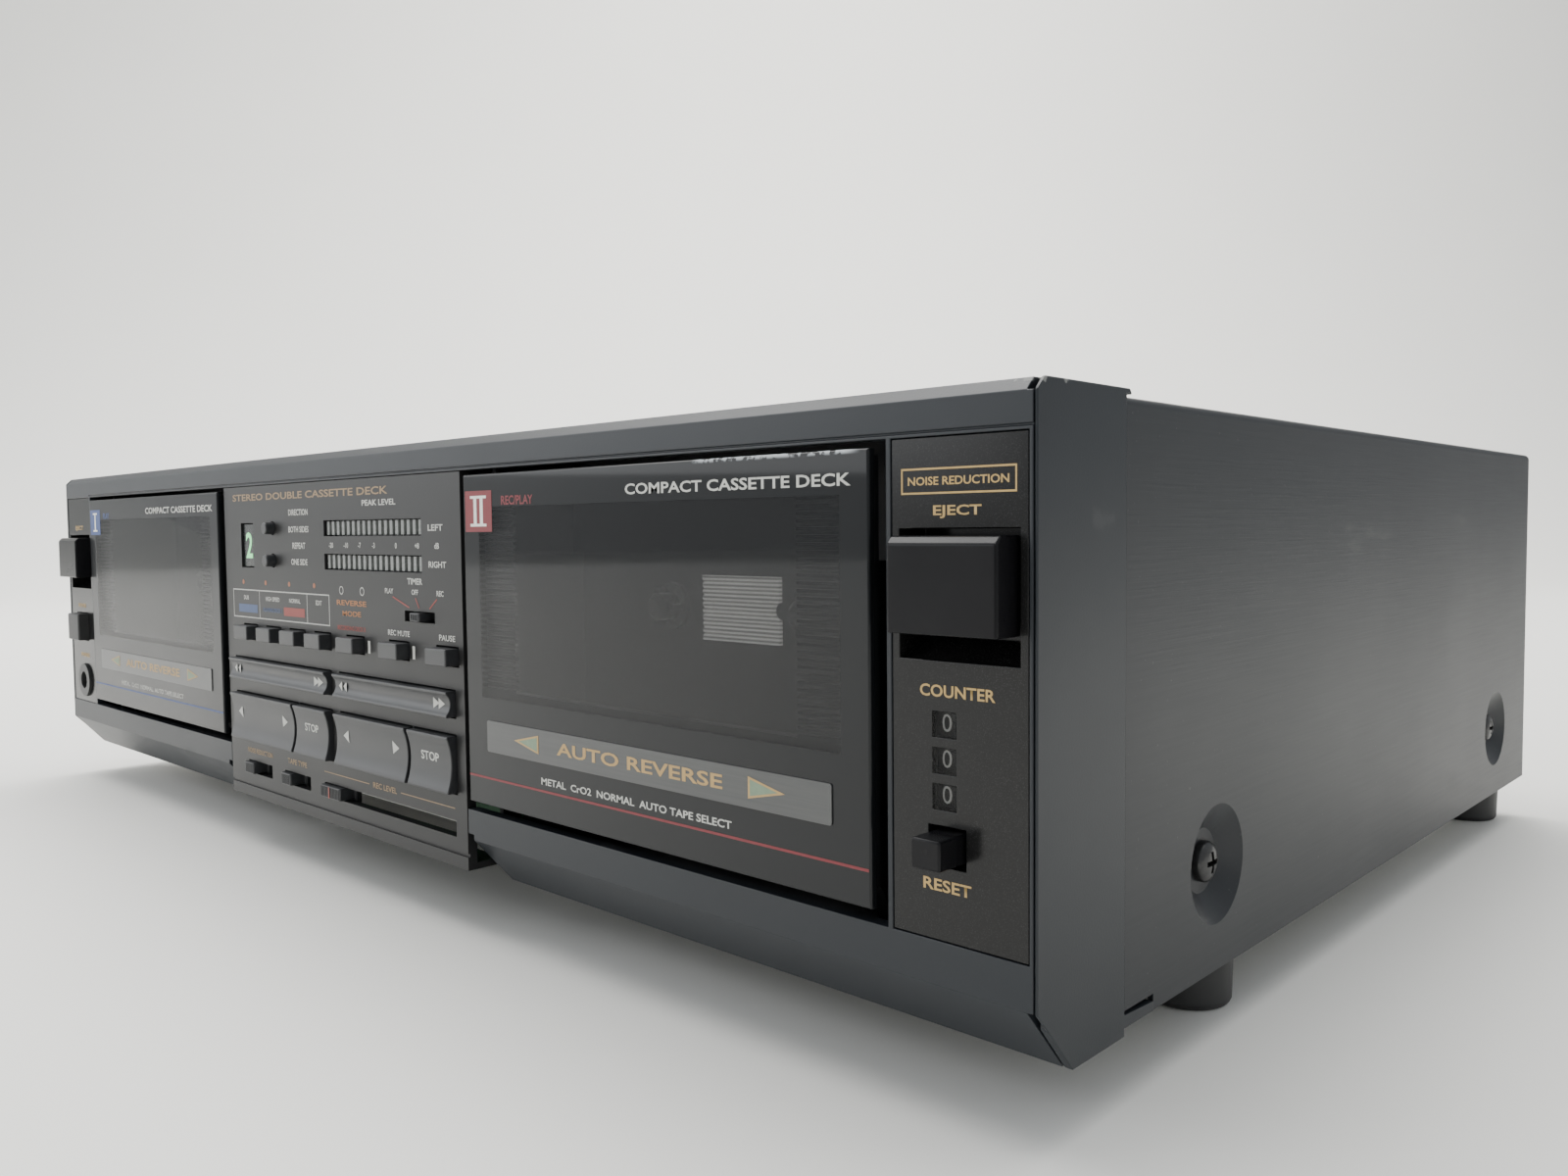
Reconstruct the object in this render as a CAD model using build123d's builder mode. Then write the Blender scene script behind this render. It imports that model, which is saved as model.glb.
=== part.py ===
from build123d import *
import os

os.makedirs("parts", exist_ok=True)

# A full-width twin cassette deck, in millimetres. X runs to the viewer's right, Y to the
# back and Z up. The origin is on the table, under the middle of the whole box.

# Overall sizes
WIDTH = 435.0
HEIGHT = 115.0
DEPTH = 288.0
FOOT_HEIGHT = 12.5

# Shells
WALL = 2.8
SHEET = 1.0
FASCIA_DEPTH = 26.2
TOP_BEVEL = 2.0
COVER_DROP = 1.1
COVER_INSET = 0.35
FIT = 0.3
RUNNING = 0.06

# Front layout, as x from the middle and z above the table
PANEL_HALF = 66.5
STRIP_WIDTH = 25.1
STRIP_EDGE = 1.4
OPENING_LOW = 29.7
RAIL_DEPTH = 7.6
CHIN_HEIGHT = 22.7
CHIN_SLOPE = 10.1
CHIN_TIP = 11.3

# Doors, which tilt out on pins low behind the front wall
GLASS_GAP = 2.6
GLASS_TOP_GAP = 1.2
GLASS_LOW = 32.1
GLASS_THICK = 1.5
GLASS_PROUD = 1.0
PIVOT_BACK = 14.0
PIVOT_HEIGHT = 26.0
PIN_RADIUS = 1.6

# Compact cassette and what holds it
CASSETTE_WIDTH = 100.4
CASSETTE_LOW = 42.0
CASSETTE_PLAY = 0.6
REEL_SPACING = 42.5
REEL_HEIGHT = 76.6
CAPSTAN_OFFSET = 33.0
CAPSTAN_HEIGHT = 50.0
DECK_FACE = 29.0
DECK_PLATE = 2.0
ARM_THICK = 3.0
ARM_GAP = 4.1
CHEEK = 2.0
DECK_FOOT = 20.0

# Keys and buttons
BUTTON_WIDTH = 9.0
BUTTON_TALL = 4.0
BUTTON_PROUD = 3.4
BUTTON_HEIGHT = 64.5
KEY_PROUD = 2.4
KEY_GAP = 0.35
EJECT_PROUD = 4.5
RESET_PROUD = 5.5
BUTTON_STEM = 9.0
BUTTON_DEPTH = 4.0
KEY_DEPTH = 5.0
JOIN = 0.1

# Sockets at the back
JACK_PROUD = 10.0
JACK_RADIUS = 4.15
PHONES_RADIUS = 3.2

# Places worked out from the sizes above
FRONT = RESET_PROUD - (RESET_PROUD + DEPTH + JACK_PROUD) / 2
HALF = WIDTH / 2
STRIP_OUT = HALF - STRIP_EDGE
STRIP_IN = STRIP_OUT - STRIP_WIDTH
STRIP_MID = (STRIP_IN + STRIP_OUT) / 2
OPENING_TOP = HEIGHT - RAIL_DEPTH
DOOR_IN = PANEL_HALF
DOOR_OUT = STRIP_IN - 1.0
DECK_X = (DOOR_IN + DOOR_OUT) / 2
GLASS_HALF = (DOOR_OUT - DOOR_IN) / 2 - GLASS_GAP
GLASS_TOP = OPENING_TOP - GLASS_TOP_GAP
COVER_TOP = HEIGHT - COVER_DROP
CHEEK_IN = CASSETTE_WIDTH / 2 + CASSETTE_PLAY
ARM_OUT = CHEEK_IN + CHEEK + 0.2
DECK_HALF = ARM_OUT + ARM_THICK / 2 + ARM_GAP
BASE = FOOT_HEIGHT
DECKS = ((1, -DECK_X), (2, DECK_X))


def slab(x0, x1, d0, d1, z0, z1, mode=Mode.ADD):
    """Box between two x, two depths behind the front face and two heights."""
    with Locations(((x0 + x1) / 2, FRONT + (d0 + d1) / 2, (z0 + z1) / 2)):
        Box(x1 - x0, d1 - d0, z1 - z0, mode=mode)


def rod(x, d0, d1, z, radius, mode=Mode.ADD):
    """Cylinder that runs from front to back."""
    with Locations((x, FRONT + (d0 + d1) / 2, z)):
        Cylinder(radius, d1 - d0, rotation=(90, 0, 0), mode=mode)


def cross_rod(x0, x1, d, z, radius, mode=Mode.ADD):
    """Cylinder that runs from left to right."""
    with Locations(((x0 + x1) / 2, FRONT + d, z)):
        Cylinder(radius, x1 - x0, rotation=(0, 90, 0), mode=mode)


def post(x, d, z0, z1, radius, mode=Mode.ADD):
    """Upright cylinder."""
    with Locations((x, FRONT + d, (z0 + z1) / 2)):
        Cylinder(radius, z1 - z0, mode=mode)


def side_plane(x):
    """Plane across the width: its x is the depth behind the front, its y the height."""
    return Plane(origin=(x, FRONT, 0), x_dir=(0, 1, 0), z_dir=(1, 0, 0))


def front_plane(d):
    """Plane facing the viewer at a depth behind the front face: its y is the height."""
    return Plane(origin=(0, FRONT + d, 0), x_dir=(1, 0, 0), z_dir=(0, -1, 0))


def top_plane(z):
    """Level plane: its y is the depth behind the front face."""
    return Plane(origin=(0, FRONT, z), x_dir=(1, 0, 0), z_dir=(0, 0, 1))


def save(builder, label):
    builder.part.label = label
    export_step(builder.part, f"parts/{label}.step")


def mirrored(side, a, b):
    """Two x limits, given for the right half, in order on the side asked for."""
    return (a, b) if side > 0 else (-b, -a)


# ---------------------------------------------------------------- front fascia
# A moulded shell: front wall, top return with a bevelled edge and a chin that slopes
# back under the face. It is open for the doors, the control panel and the side strips.
CHIN_BACK = CHIN_TIP + 2.5
SIDE_LIP = 0.7
CAP_THICK = 1.5
fascia_outline = [
    (0, CHIN_HEIGHT),
    (CHIN_SLOPE, CHIN_TIP),
    (FASCIA_DEPTH - 1.5, CHIN_TIP),
    (FASCIA_DEPTH - 1.5, CHIN_BACK),
    (CHIN_SLOPE + 1.3, CHIN_BACK),
    (WALL, CHIN_HEIGHT + 1.2),
    (WALL, HEIGHT - WALL),
    (FASCIA_DEPTH, HEIGHT - WALL),
    (FASCIA_DEPTH, HEIGHT),
    (TOP_BEVEL, HEIGHT),
    (0, HEIGHT - TOP_BEVEL),
]
PANEL_NOTCH = 2.2
LIP_HEIGHT = 1.2
STRIP_SEAT = 1.5
STRIP_LEDGE = 0.6
STRIP_WELL_BACK = 10.0
FLANGE_BACK = FASCIA_DEPTH + 2.4

with BuildPart() as front_fascia:
    with BuildSketch(side_plane(-HALF + CAP_THICK + FIT)):
        with BuildLine():
            Polyline(*fascia_outline, close=True)
        make_face()
    extrude(amount=WIDTH - 2 * (CAP_THICK + FIT))
    for side in (-1, 1):
        x0, x1 = mirrored(side, HALF - CAP_THICK - FIT, HALF - SIDE_LIP)
        slab(x0, x1, 0, WALL, CHIN_HEIGHT, HEIGHT - TOP_BEVEL)
        x0, x1 = mirrored(side, DOOR_IN, DOOR_OUT)
        slab(x0, x1, -1, WALL + 1, OPENING_LOW, OPENING_TOP, Mode.SUBTRACT)
        x0, x1 = mirrored(side, STRIP_IN, STRIP_OUT)
        slab(x0, x1, -1, STRIP_SEAT, OPENING_LOW, OPENING_TOP, Mode.SUBTRACT)
        x0, x1 = mirrored(side, STRIP_IN + STRIP_LEDGE, STRIP_OUT - STRIP_LEDGE)
        slab(x0, x1, 0, WALL + 1, OPENING_LOW + 2, OPENING_TOP - 2, Mode.SUBTRACT)
        x0, x1 = mirrored(side, PANEL_HALF - 1, PANEL_HALF + PANEL_NOTCH)
        slab(x0, x1, -1, FASCIA_DEPTH, CHIN_TIP - 1, CHIN_HEIGHT + LIP_HEIGHT, Mode.SUBTRACT)
    slab(-PANEL_HALF, PANEL_HALF, -1, FASCIA_DEPTH, CHIN_TIP - 1, OPENING_TOP, Mode.SUBTRACT)
    # Flanges that pass inside the cover's top and sides
    for side in (-1, 1):
        x0, x1 = mirrored(side, HALF - CAP_THICK - FIT - 1.5, HALF - CAP_THICK - FIT)
        slab(x0, x1, STRIP_WELL_BACK, FLANGE_BACK, CHIN_BACK - 1, HEIGHT - WALL)
    flange_half = HALF - CAP_THICK - FIT - 1.2
    flange_top = COVER_TOP - SHEET - FIT
    slab(-flange_half, flange_half, FASCIA_DEPTH - 2, FLANGE_BACK, flange_top - 1.5, flange_top)
    # The fine line along the top rail
    slab(-STRIP_IN, HALF, -0.1, 0.35, OPENING_TOP + 0.5, OPENING_TOP + 0.9, Mode.SUBTRACT)
save(front_fascia, "front_fascia")

# ---------------------------------------------------------------- end caps
# Thin side plates that close the fascia. Each has a narrow lip beside the front wall, a
# small hook above the cover at the back and a stepped tab at its lower rear corner.
HOOK = 1.8
HOOK_TALL = COVER_DROP - 0.2
TAB_LENGTH = 10.0
TAB_TOP = 3.6
with BuildPart() as end_caps:
    for side in (-1, 1):
        with BuildSketch(side_plane(side * HALF)):
            with BuildLine():
                Polyline(
                    (WALL + 0.2, CHIN_HEIGHT - 3.2),
                    (CHIN_SLOPE, CHIN_TIP),
                    (FASCIA_DEPTH, CHIN_TIP),
                    (FASCIA_DEPTH, CHIN_TIP + 1.4),
                    (FASCIA_DEPTH + TAB_LENGTH, CHIN_TIP + 1.4),
                    (FASCIA_DEPTH + TAB_LENGTH, CHIN_TIP + 3.0),
                    (FASCIA_DEPTH, CHIN_TIP + TAB_TOP),
                    (FASCIA_DEPTH, HEIGHT - HOOK_TALL),
                    (FASCIA_DEPTH + HOOK, HEIGHT - HOOK_TALL),
                    (FASCIA_DEPTH + HOOK * 0.6, HEIGHT),
                    (WALL + 0.2, HEIGHT),
                    close=True,
                )
            make_face()
        extrude(amount=-side * CAP_THICK)
        with BuildSketch(side_plane(side * HALF)):
            with BuildLine():
                Polyline(
                    (0, CHIN_HEIGHT),
                    (WALL + 0.2, CHIN_HEIGHT - 3.2),
                    (WALL + 0.2, HEIGHT),
                    (TOP_BEVEL, HEIGHT),
                    (0, HEIGHT - TOP_BEVEL),
                    close=True,
                )
            make_face()
        extrude(amount=-side * (SIDE_LIP - 0.2))
save(end_caps, "end_caps")

# ---------------------------------------------------------------- top cover
# A folded steel cover: top, two sides and a lip at the back. Each side has two dished
# wells for the screws.
COVER_FRONT = FASCIA_DEPTH + 0.5
SCREW_DEPTHS = (61.5, DEPTH - 34.5)
SCREW_HEIGHT = 32.0
DISH_RADIUS = 11.0
DISH_DEPTH = 3.2
SCREW_SHANK = 1.9
cover_half = HALF - COVER_INSET
with BuildPart() as top_cover:
    with BuildSketch(front_plane(COVER_FRONT)):
        with Locations((0, (COVER_TOP + BASE) / 2)):
            Rectangle(2 * cover_half, COVER_TOP - BASE)
    extrude(amount=COVER_FRONT - DEPTH)
    fillet(top_cover.edges().filter_by(Axis.Y).group_by(Axis.Z)[-1], 1.6)
    inside = cover_half - SHEET
    slab(-inside, inside, 0, DEPTH - SHEET, BASE - 1, COVER_TOP - SHEET, Mode.SUBTRACT)
    slab(-inside + 9, inside - 9, DEPTH - 2, DEPTH + 1, BASE - 1, COVER_TOP - 9, Mode.SUBTRACT)
    for side in (-1, 1):
        for d in SCREW_DEPTHS:
            dish = Plane(origin=(side * cover_half, FRONT + d, SCREW_HEIGHT), z_dir=(-side, 0, 0))
            with BuildSketch(dish.offset(SHEET)):
                Circle(DISH_RADIUS)
            with BuildSketch(dish.offset(DISH_DEPTH + SHEET)):
                Circle(DISH_RADIUS - 4.2)
            loft()
            with BuildSketch(dish.offset(-0.01)):
                Circle(DISH_RADIUS)
            with BuildSketch(dish.offset(DISH_DEPTH)):
                Circle(DISH_RADIUS - 5.0)
            loft(mode=Mode.SUBTRACT)
            with BuildSketch(dish):
                Circle(SCREW_SHANK + RUNNING)
            extrude(amount=DISH_DEPTH + SHEET + 1, mode=Mode.SUBTRACT)
        # The fascia's tab sits in a notch at the lower front corner
        x0, x1 = mirrored(side, inside - 1, cover_half + 1)
        notch_back = FASCIA_DEPTH + TAB_LENGTH + 0.4
        slab(x0, x1, 0, notch_back, BASE - 1, CHIN_TIP + TAB_TOP + 0.4, Mode.SUBTRACT)
    # Rows of vent slots over the transformer
    with BuildSketch(top_plane(COVER_TOP)):
        with Locations((-HALF + 90, DEPTH - 75)):
            with GridLocations(9, 1, 10, 1):
                SlotOverall(60, 3.2, rotation=90)
    extrude(amount=-2 * SHEET, mode=Mode.SUBTRACT)
save(top_cover, "top_cover")

# ---------------------------------------------------------------- base pan
# The steel tray under everything, with turned-up sides that the cover screws enter.
PAN_SHEET = 1.2
pan_half = cover_half - SHEET - DISH_DEPTH - SHEET - 0.2
PAN_WALL = 34.0
PAN_FRONT = FASCIA_DEPTH + 3.0
FEET = [(x, d) for x in (-HALF + 13, HALF - 13) for d in (76.0, DEPTH - 14)]
FOOT_HOLE = 1.6
with BuildPart() as base_pan:
    slab(-pan_half, pan_half, PAN_FRONT, DEPTH - 3, BASE, BASE + PAN_SHEET)
    for side in (-1, 1):
        x0, x1 = mirrored(side, pan_half - PAN_SHEET, pan_half)
        slab(x0, x1, PAN_FRONT, DEPTH - 3, BASE, BASE + PAN_WALL)
        x0, x1 = mirrored(side, pan_half - 10, pan_half + 10)
        for d in SCREW_DEPTHS:
            cross_rod(x0, x1, d, SCREW_HEIGHT, SCREW_SHANK + RUNNING, Mode.SUBTRACT)
    for x, d in FEET:
        post(x, d, BASE - 1, BASE + 3, FOOT_HOLE + RUNNING, Mode.SUBTRACT)
    with BuildSketch(top_plane(BASE)):
        with Locations((0, DEPTH * 0.55)):
            with GridLocations(12, 1, 14, 1):
                SlotOverall(50, 3, rotation=90)
    extrude(amount=PAN_SHEET, mode=Mode.SUBTRACT)
save(base_pan, "base_pan")

# ---------------------------------------------------------------- feet
# Four moulded feet with a rounded lower edge, each held by one screw from below.
FOOT_RADIUS = 9.0
with BuildPart() as feet:
    for x, d in FEET:
        with BuildSketch(top_plane(BASE)):
            with Locations((x, d)):
                Circle(FOOT_RADIUS)
        extrude(amount=-FOOT_HEIGHT, taper=2)
    fillet(feet.edges().group_by(Axis.Z)[0], 1.5)
    for x, d in FEET:
        post(x, d, -1, 5.5, 4.0, Mode.SUBTRACT)
        post(x, d, -1, BASE + 1, FOOT_HOLE + RUNNING, Mode.SUBTRACT)
save(feet, "feet")

# ---------------------------------------------------------------- rear panel
# A steel plate with cut-outs for the line sockets and the mains inlet.
REAR_FACE = DEPTH - SHEET - 0.3
JACK_MID = (HALF - 80, 72.0)
JACK_PITCH = 14.0
INLET_X = -HALF + 60
INLET_Z = 40.0
INLET_WIDTH = 22.0
INLET_TALL = 13.0
JACKS = [
    (JACK_MID[0] + i * JACK_PITCH, JACK_MID[1] + j * JACK_PITCH)
    for i in (-0.5, 0.5)
    for j in (-0.5, 0.5)
]
with BuildPart() as rear_panel:
    slab(-pan_half + 2, pan_half - 2, REAR_FACE - 1.2, REAR_FACE, BASE + 1.5, COVER_TOP - SHEET - 0.3)
    for x, z in JACKS:
        rod(x, REAR_FACE - 3, REAR_FACE + 3, z, JACK_RADIUS + 1.2, Mode.SUBTRACT)
    slab(
        INLET_X - INLET_WIDTH / 2 - 0.2,
        INLET_X + INLET_WIDTH / 2 + 0.2,
        REAR_FACE - 3,
        REAR_FACE + 3,
        INLET_Z - INLET_TALL / 2 - 0.2,
        INLET_Z + INLET_TALL / 2 + 0.2,
        Mode.SUBTRACT,
    )
save(rear_panel, "rear_panel")

# ---------------------------------------------------------------- rear sockets
# One moulded block carries the four line sockets, each a metal sleeve with a socket bore.
block_back = REAR_FACE - 1.2 - 0.1
with BuildPart() as rear_jacks:
    for x, z in JACKS:
        rod(x, block_back - 6, DEPTH + JACK_PROUD, z, JACK_RADIUS)
        rod(x, REAR_FACE + 0.1, DEPTH + 1.2, z, JACK_RADIUS + 1.0)
    x, z = JACK_MID
    slab(x - 15, x + 15, block_back - 12, block_back, z - 15, z + 15)
    for x, z in JACKS:
        rod(x, DEPTH - 2, DEPTH + JACK_PROUD + 1, z, 1.6, Mode.SUBTRACT)
save(rear_jacks, "rear_jacks")

# The mains inlet: an insulating shell around a figure-of-eight socket with two pins.
with BuildPart() as mains_inlet:
    x0 = INLET_X - INLET_WIDTH / 2
    x1 = INLET_X + INLET_WIDTH / 2
    z0 = INLET_Z - INLET_TALL / 2
    z1 = INLET_Z + INLET_TALL / 2
    slab(x0, x1, REAR_FACE - 18, REAR_FACE + 0.1, z0, z1)
    slab(x0 - 2, x1 + 2, REAR_FACE + 0.1, DEPTH + 1.5, z0 - 1.5, z1 + 1.5)
    with BuildSketch(front_plane(DEPTH + 1.5)):
        with Locations((INLET_X, INLET_Z)):
            SlotCenterToCenter(8, 7.6)
    extrude(amount=13, mode=Mode.SUBTRACT)
    for dx in (-4, 4):
        rod(INLET_X + dx, REAR_FACE - 12, DEPTH - 1, INLET_Z, 1.2)
save(mains_inlet, "mains_inlet")

# ---------------------------------------------------------------- side strips
# Glossy moulded panels beside the doors. Both have a deep pocket with a ramped floor for
# an eject key. The right one has windows for the counter and a hole for its reset
# button; the left one has holes for the power button and the headphone socket.
EJECT_WIDTH = 20.0
EJECT_LOW = 77.5
EJECT_TOP = 92.3
EJECT_TRAVEL = 3.6
POCKET_SIDE = 1.0
POCKET_LOW = EJECT_LOW - EJECT_TRAVEL - 0.7
POCKET_TOP = EJECT_TOP + 1.1
POCKET_DEPTH = 7.0
POCKET_WALL = 0.8
RAMP_RISE = 3.0
KEY_BACK = 2.0
STEM_HALF = 3.0
STEM_INSET = 5.0
COUNTER_X = STRIP_MID - 3.45
COUNTER_HEIGHTS = (63.4, 57.8, 52.2)
# The counter's windows lie a little outside the drums, where someone in front looks in
COUNTER_SHIFT = 0.9
COUNTER_WINDOW = 4.4
COUNTER_WINDOW_TALL = 4.0
RESET_WIDTH = 5.4
RESET_TALL = 4.7
RESET_GAP = 0.8
RESET_X = STRIP_MID - 2.05
RESET_HEIGHT = 44.6
POWER_WIDTH = 12.0
POWER_TALL = 10.0
POWER_X = -STRIP_MID
POWER_HEIGHT = 58.5
PHONES_X = -STRIP_MID + 1.5
PHONES_HEIGHT = 38.0
PHONES_COLLAR = 6.2
for side, name in ((-1, "strip_left"), (1, "strip_right")):
    mid = side * STRIP_MID
    half = EJECT_WIDTH / 2 + POCKET_SIDE
    with BuildPart() as strip:
        x0, x1 = mirrored(side, STRIP_IN + 0.15, STRIP_OUT - 0.15)
        slab(x0, x1, 0.15, STRIP_SEAT - 0.1, OPENING_LOW + 0.15, OPENING_TOP - 0.15)
        outer = half + POCKET_WALL
        slab(mid - outer, mid + outer, 1, POCKET_DEPTH + 1, POCKET_LOW - 0.8, POCKET_TOP + 0.8)
        slab(mid - half, mid + half, -1, POCKET_DEPTH, POCKET_LOW, POCKET_TOP, Mode.SUBTRACT)
        with BuildSketch(side_plane(mid - half)):
            with BuildLine():
                Polyline(
                    (KEY_BACK, POCKET_LOW),
                    (POCKET_DEPTH, POCKET_LOW),
                    (POCKET_DEPTH, POCKET_LOW + RAMP_RISE),
                    close=True,
                )
            make_face()
        extrude(amount=2 * half)
        stem_low = EJECT_LOW + STEM_INSET - EJECT_TRAVEL - FIT
        stem_top = EJECT_TOP - STEM_INSET + FIT
        wide = STEM_HALF + FIT
        slab(mid - wide, mid + wide, KEY_BACK, POCKET_DEPTH + 2, stem_low, stem_top, Mode.SUBTRACT)
        if side > 0:
            x0 = COUNTER_X + COUNTER_SHIFT - COUNTER_WINDOW / 2
            tall = COUNTER_WINDOW_TALL / 2
            for z in COUNTER_HEIGHTS:
                slab(x0, x0 + COUNTER_WINDOW, -1, 2, z - tall, z + tall, Mode.SUBTRACT)
            x0 = RESET_X - RESET_WIDTH / 2 - RESET_GAP
            x1 = RESET_X + RESET_WIDTH / 2 + RESET_GAP
            tall = RESET_TALL / 2 + RESET_GAP
            slab(x0, x1, -1, 2, RESET_HEIGHT - tall, RESET_HEIGHT + tall, Mode.SUBTRACT)
        else:
            x0 = POWER_X - POWER_WIDTH / 2 - FIT
            x1 = POWER_X + POWER_WIDTH / 2 + FIT
            tall = POWER_TALL / 2 + FIT
            slab(x0, x1, -1, 2, POWER_HEIGHT - tall, POWER_HEIGHT + tall, Mode.SUBTRACT)
            rod(PHONES_X, -1, 2, PHONES_HEIGHT, PHONES_COLLAR + 0.1, Mode.SUBTRACT)
    save(strip, name)

# ---------------------------------------------------------------- eject keys
# A wide key with a bevelled upper edge. It slides down in its pocket, and its stem passes
# through the pocket's floor to the latch lever.
EJECT_BEVEL = 1.2
for (deck, _), side in zip(DECKS, (-1, 1)):
    mid = side * STRIP_MID
    with BuildPart() as eject_key:
        slab(mid - EJECT_WIDTH / 2, mid + EJECT_WIDTH / 2, -EJECT_PROUD, KEY_BACK, EJECT_LOW, EJECT_TOP)
        front_edges = eject_key.edges().filter_by(Axis.X).group_by(Axis.Y)[0]
        chamfer(front_edges.sort_by(Axis.Z)[-1], EJECT_BEVEL)
        fillet(eject_key.edges().filter_by(Axis.Z).group_by(Axis.Y)[0], 0.5)
        stem_low = EJECT_LOW + STEM_INSET
        stem_top = EJECT_TOP - STEM_INSET
        slab(mid - STEM_HALF, mid + STEM_HALF, KEY_BACK - JOIN, POCKET_DEPTH + 6, stem_low, stem_top)
    save(eject_key, f"eject_key_{deck}")

# ---------------------------------------------------------------- headphone socket
# A socket body with a round collar at the front and a stepped bore.
PHONES_LENGTH = 22.0
with BuildPart() as phones_socket:
    rod(PHONES_X, -0.8, 4.0, PHONES_HEIGHT, PHONES_COLLAR)
    slab(PHONES_X - 8, PHONES_X + 8, 3.6, 4 + PHONES_LENGTH, PHONES_HEIGHT - 8, PHONES_HEIGHT + 8)
    rod(PHONES_X, -1, PHONES_LENGTH, PHONES_HEIGHT, PHONES_RADIUS, Mode.SUBTRACT)
save(phones_socket, "phones_socket")

# ---------------------------------------------------------------- push buttons in the strips
with BuildPart() as power_button:
    x0 = POWER_X - POWER_WIDTH / 2
    x1 = POWER_X + POWER_WIDTH / 2
    z0 = POWER_HEIGHT - POWER_TALL / 2
    z1 = POWER_HEIGHT + POWER_TALL / 2
    slab(x0, x1, -BUTTON_PROUD, KEY_DEPTH, z0, z1)
    fillet(power_button.edges().group_by(Axis.Y)[0], 0.6)
    slab(x0 + 3, x1 - 3, KEY_DEPTH - JOIN, KEY_DEPTH + BUTTON_STEM, z0 + 2.5, z1 - 2.5)
save(power_button, "power_button")

with BuildPart() as reset_button:
    x0 = RESET_X - RESET_WIDTH / 2
    x1 = RESET_X + RESET_WIDTH / 2
    z0 = RESET_HEIGHT - RESET_TALL / 2
    z1 = RESET_HEIGHT + RESET_TALL / 2
    slab(x0, x1, -RESET_PROUD, 6, z0, z1)
    fillet(reset_button.edges().group_by(Axis.Y)[0], 0.4)
save(reset_button, "reset_button")

# ---------------------------------------------------------------- tape counter
# Three number wheels on one upright shaft behind the windows of the right strip.
WHEEL_RADIUS = 6.5
WHEEL_TALL = 4.6
COUNTER_BACK = 2.2 + WHEEL_RADIUS
SHAFT_RADIUS = 1.0
COUNTER_END = 4.5
frame_low = COUNTER_HEIGHTS[-1] - COUNTER_END
frame_top = COUNTER_HEIGHTS[0] + COUNTER_END
with BuildPart() as counter_frame:
    for z0, z1 in ((frame_low, frame_low + 1.5), (frame_top - 1.5, frame_top)):
        slab(COUNTER_X - 5, COUNTER_X + 5, 3.2, 20, z0, z1)
    slab(COUNTER_X - 5, COUNTER_X + 5, 18.5, 20, frame_low, frame_top)
    post(COUNTER_X, COUNTER_BACK, frame_low, frame_top, SHAFT_RADIUS)
save(counter_frame, "counter_frame")

for index, z in enumerate(COUNTER_HEIGHTS):
    with BuildPart() as counter_wheel:
        post(COUNTER_X, COUNTER_BACK, z - WHEEL_TALL / 2, z + WHEEL_TALL / 2, WHEEL_RADIUS)
        post(COUNTER_X, COUNTER_BACK, z - 5, z + 5, SHAFT_RADIUS + RUNNING, Mode.SUBTRACT)
    save(counter_wheel, f"counter_wheel_{index + 1}")

# ---------------------------------------------------------------- doors
# Each door is a smoked glass front on a moulded frame. The frame has ribbed bands beside
# the window, a label plate, cheeks and a shelf that hold the cassette, and two arms that
# reach down to the hinge pins.
WINDOW_LOW = 58.0
WINDOW_TOP = 99.0
WINDOW_HALF = 41.9
BAND_WIDTH = 14.0
FRAME_THICK = 2.2
FRAME_BACK = GLASS_THICK - GLASS_PROUD + FRAME_THICK
CHEEK_BACK = DECK_FACE - 3.0
CHEEK_TOP = 88.0
ROLLER_RADIUS = 5.5
ROLLER_PLAY = 1.5
SHELF_GAP = CAPSTAN_OFFSET + ROLLER_RADIUS + ROLLER_PLAY
PIN_END = DECK_HALF - 0.4
RIB_PITCH = 1.3
glass_back = GLASS_THICK - GLASS_PROUD
shelf_low = CASSETTE_LOW - CASSETTE_PLAY - CHEEK
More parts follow.
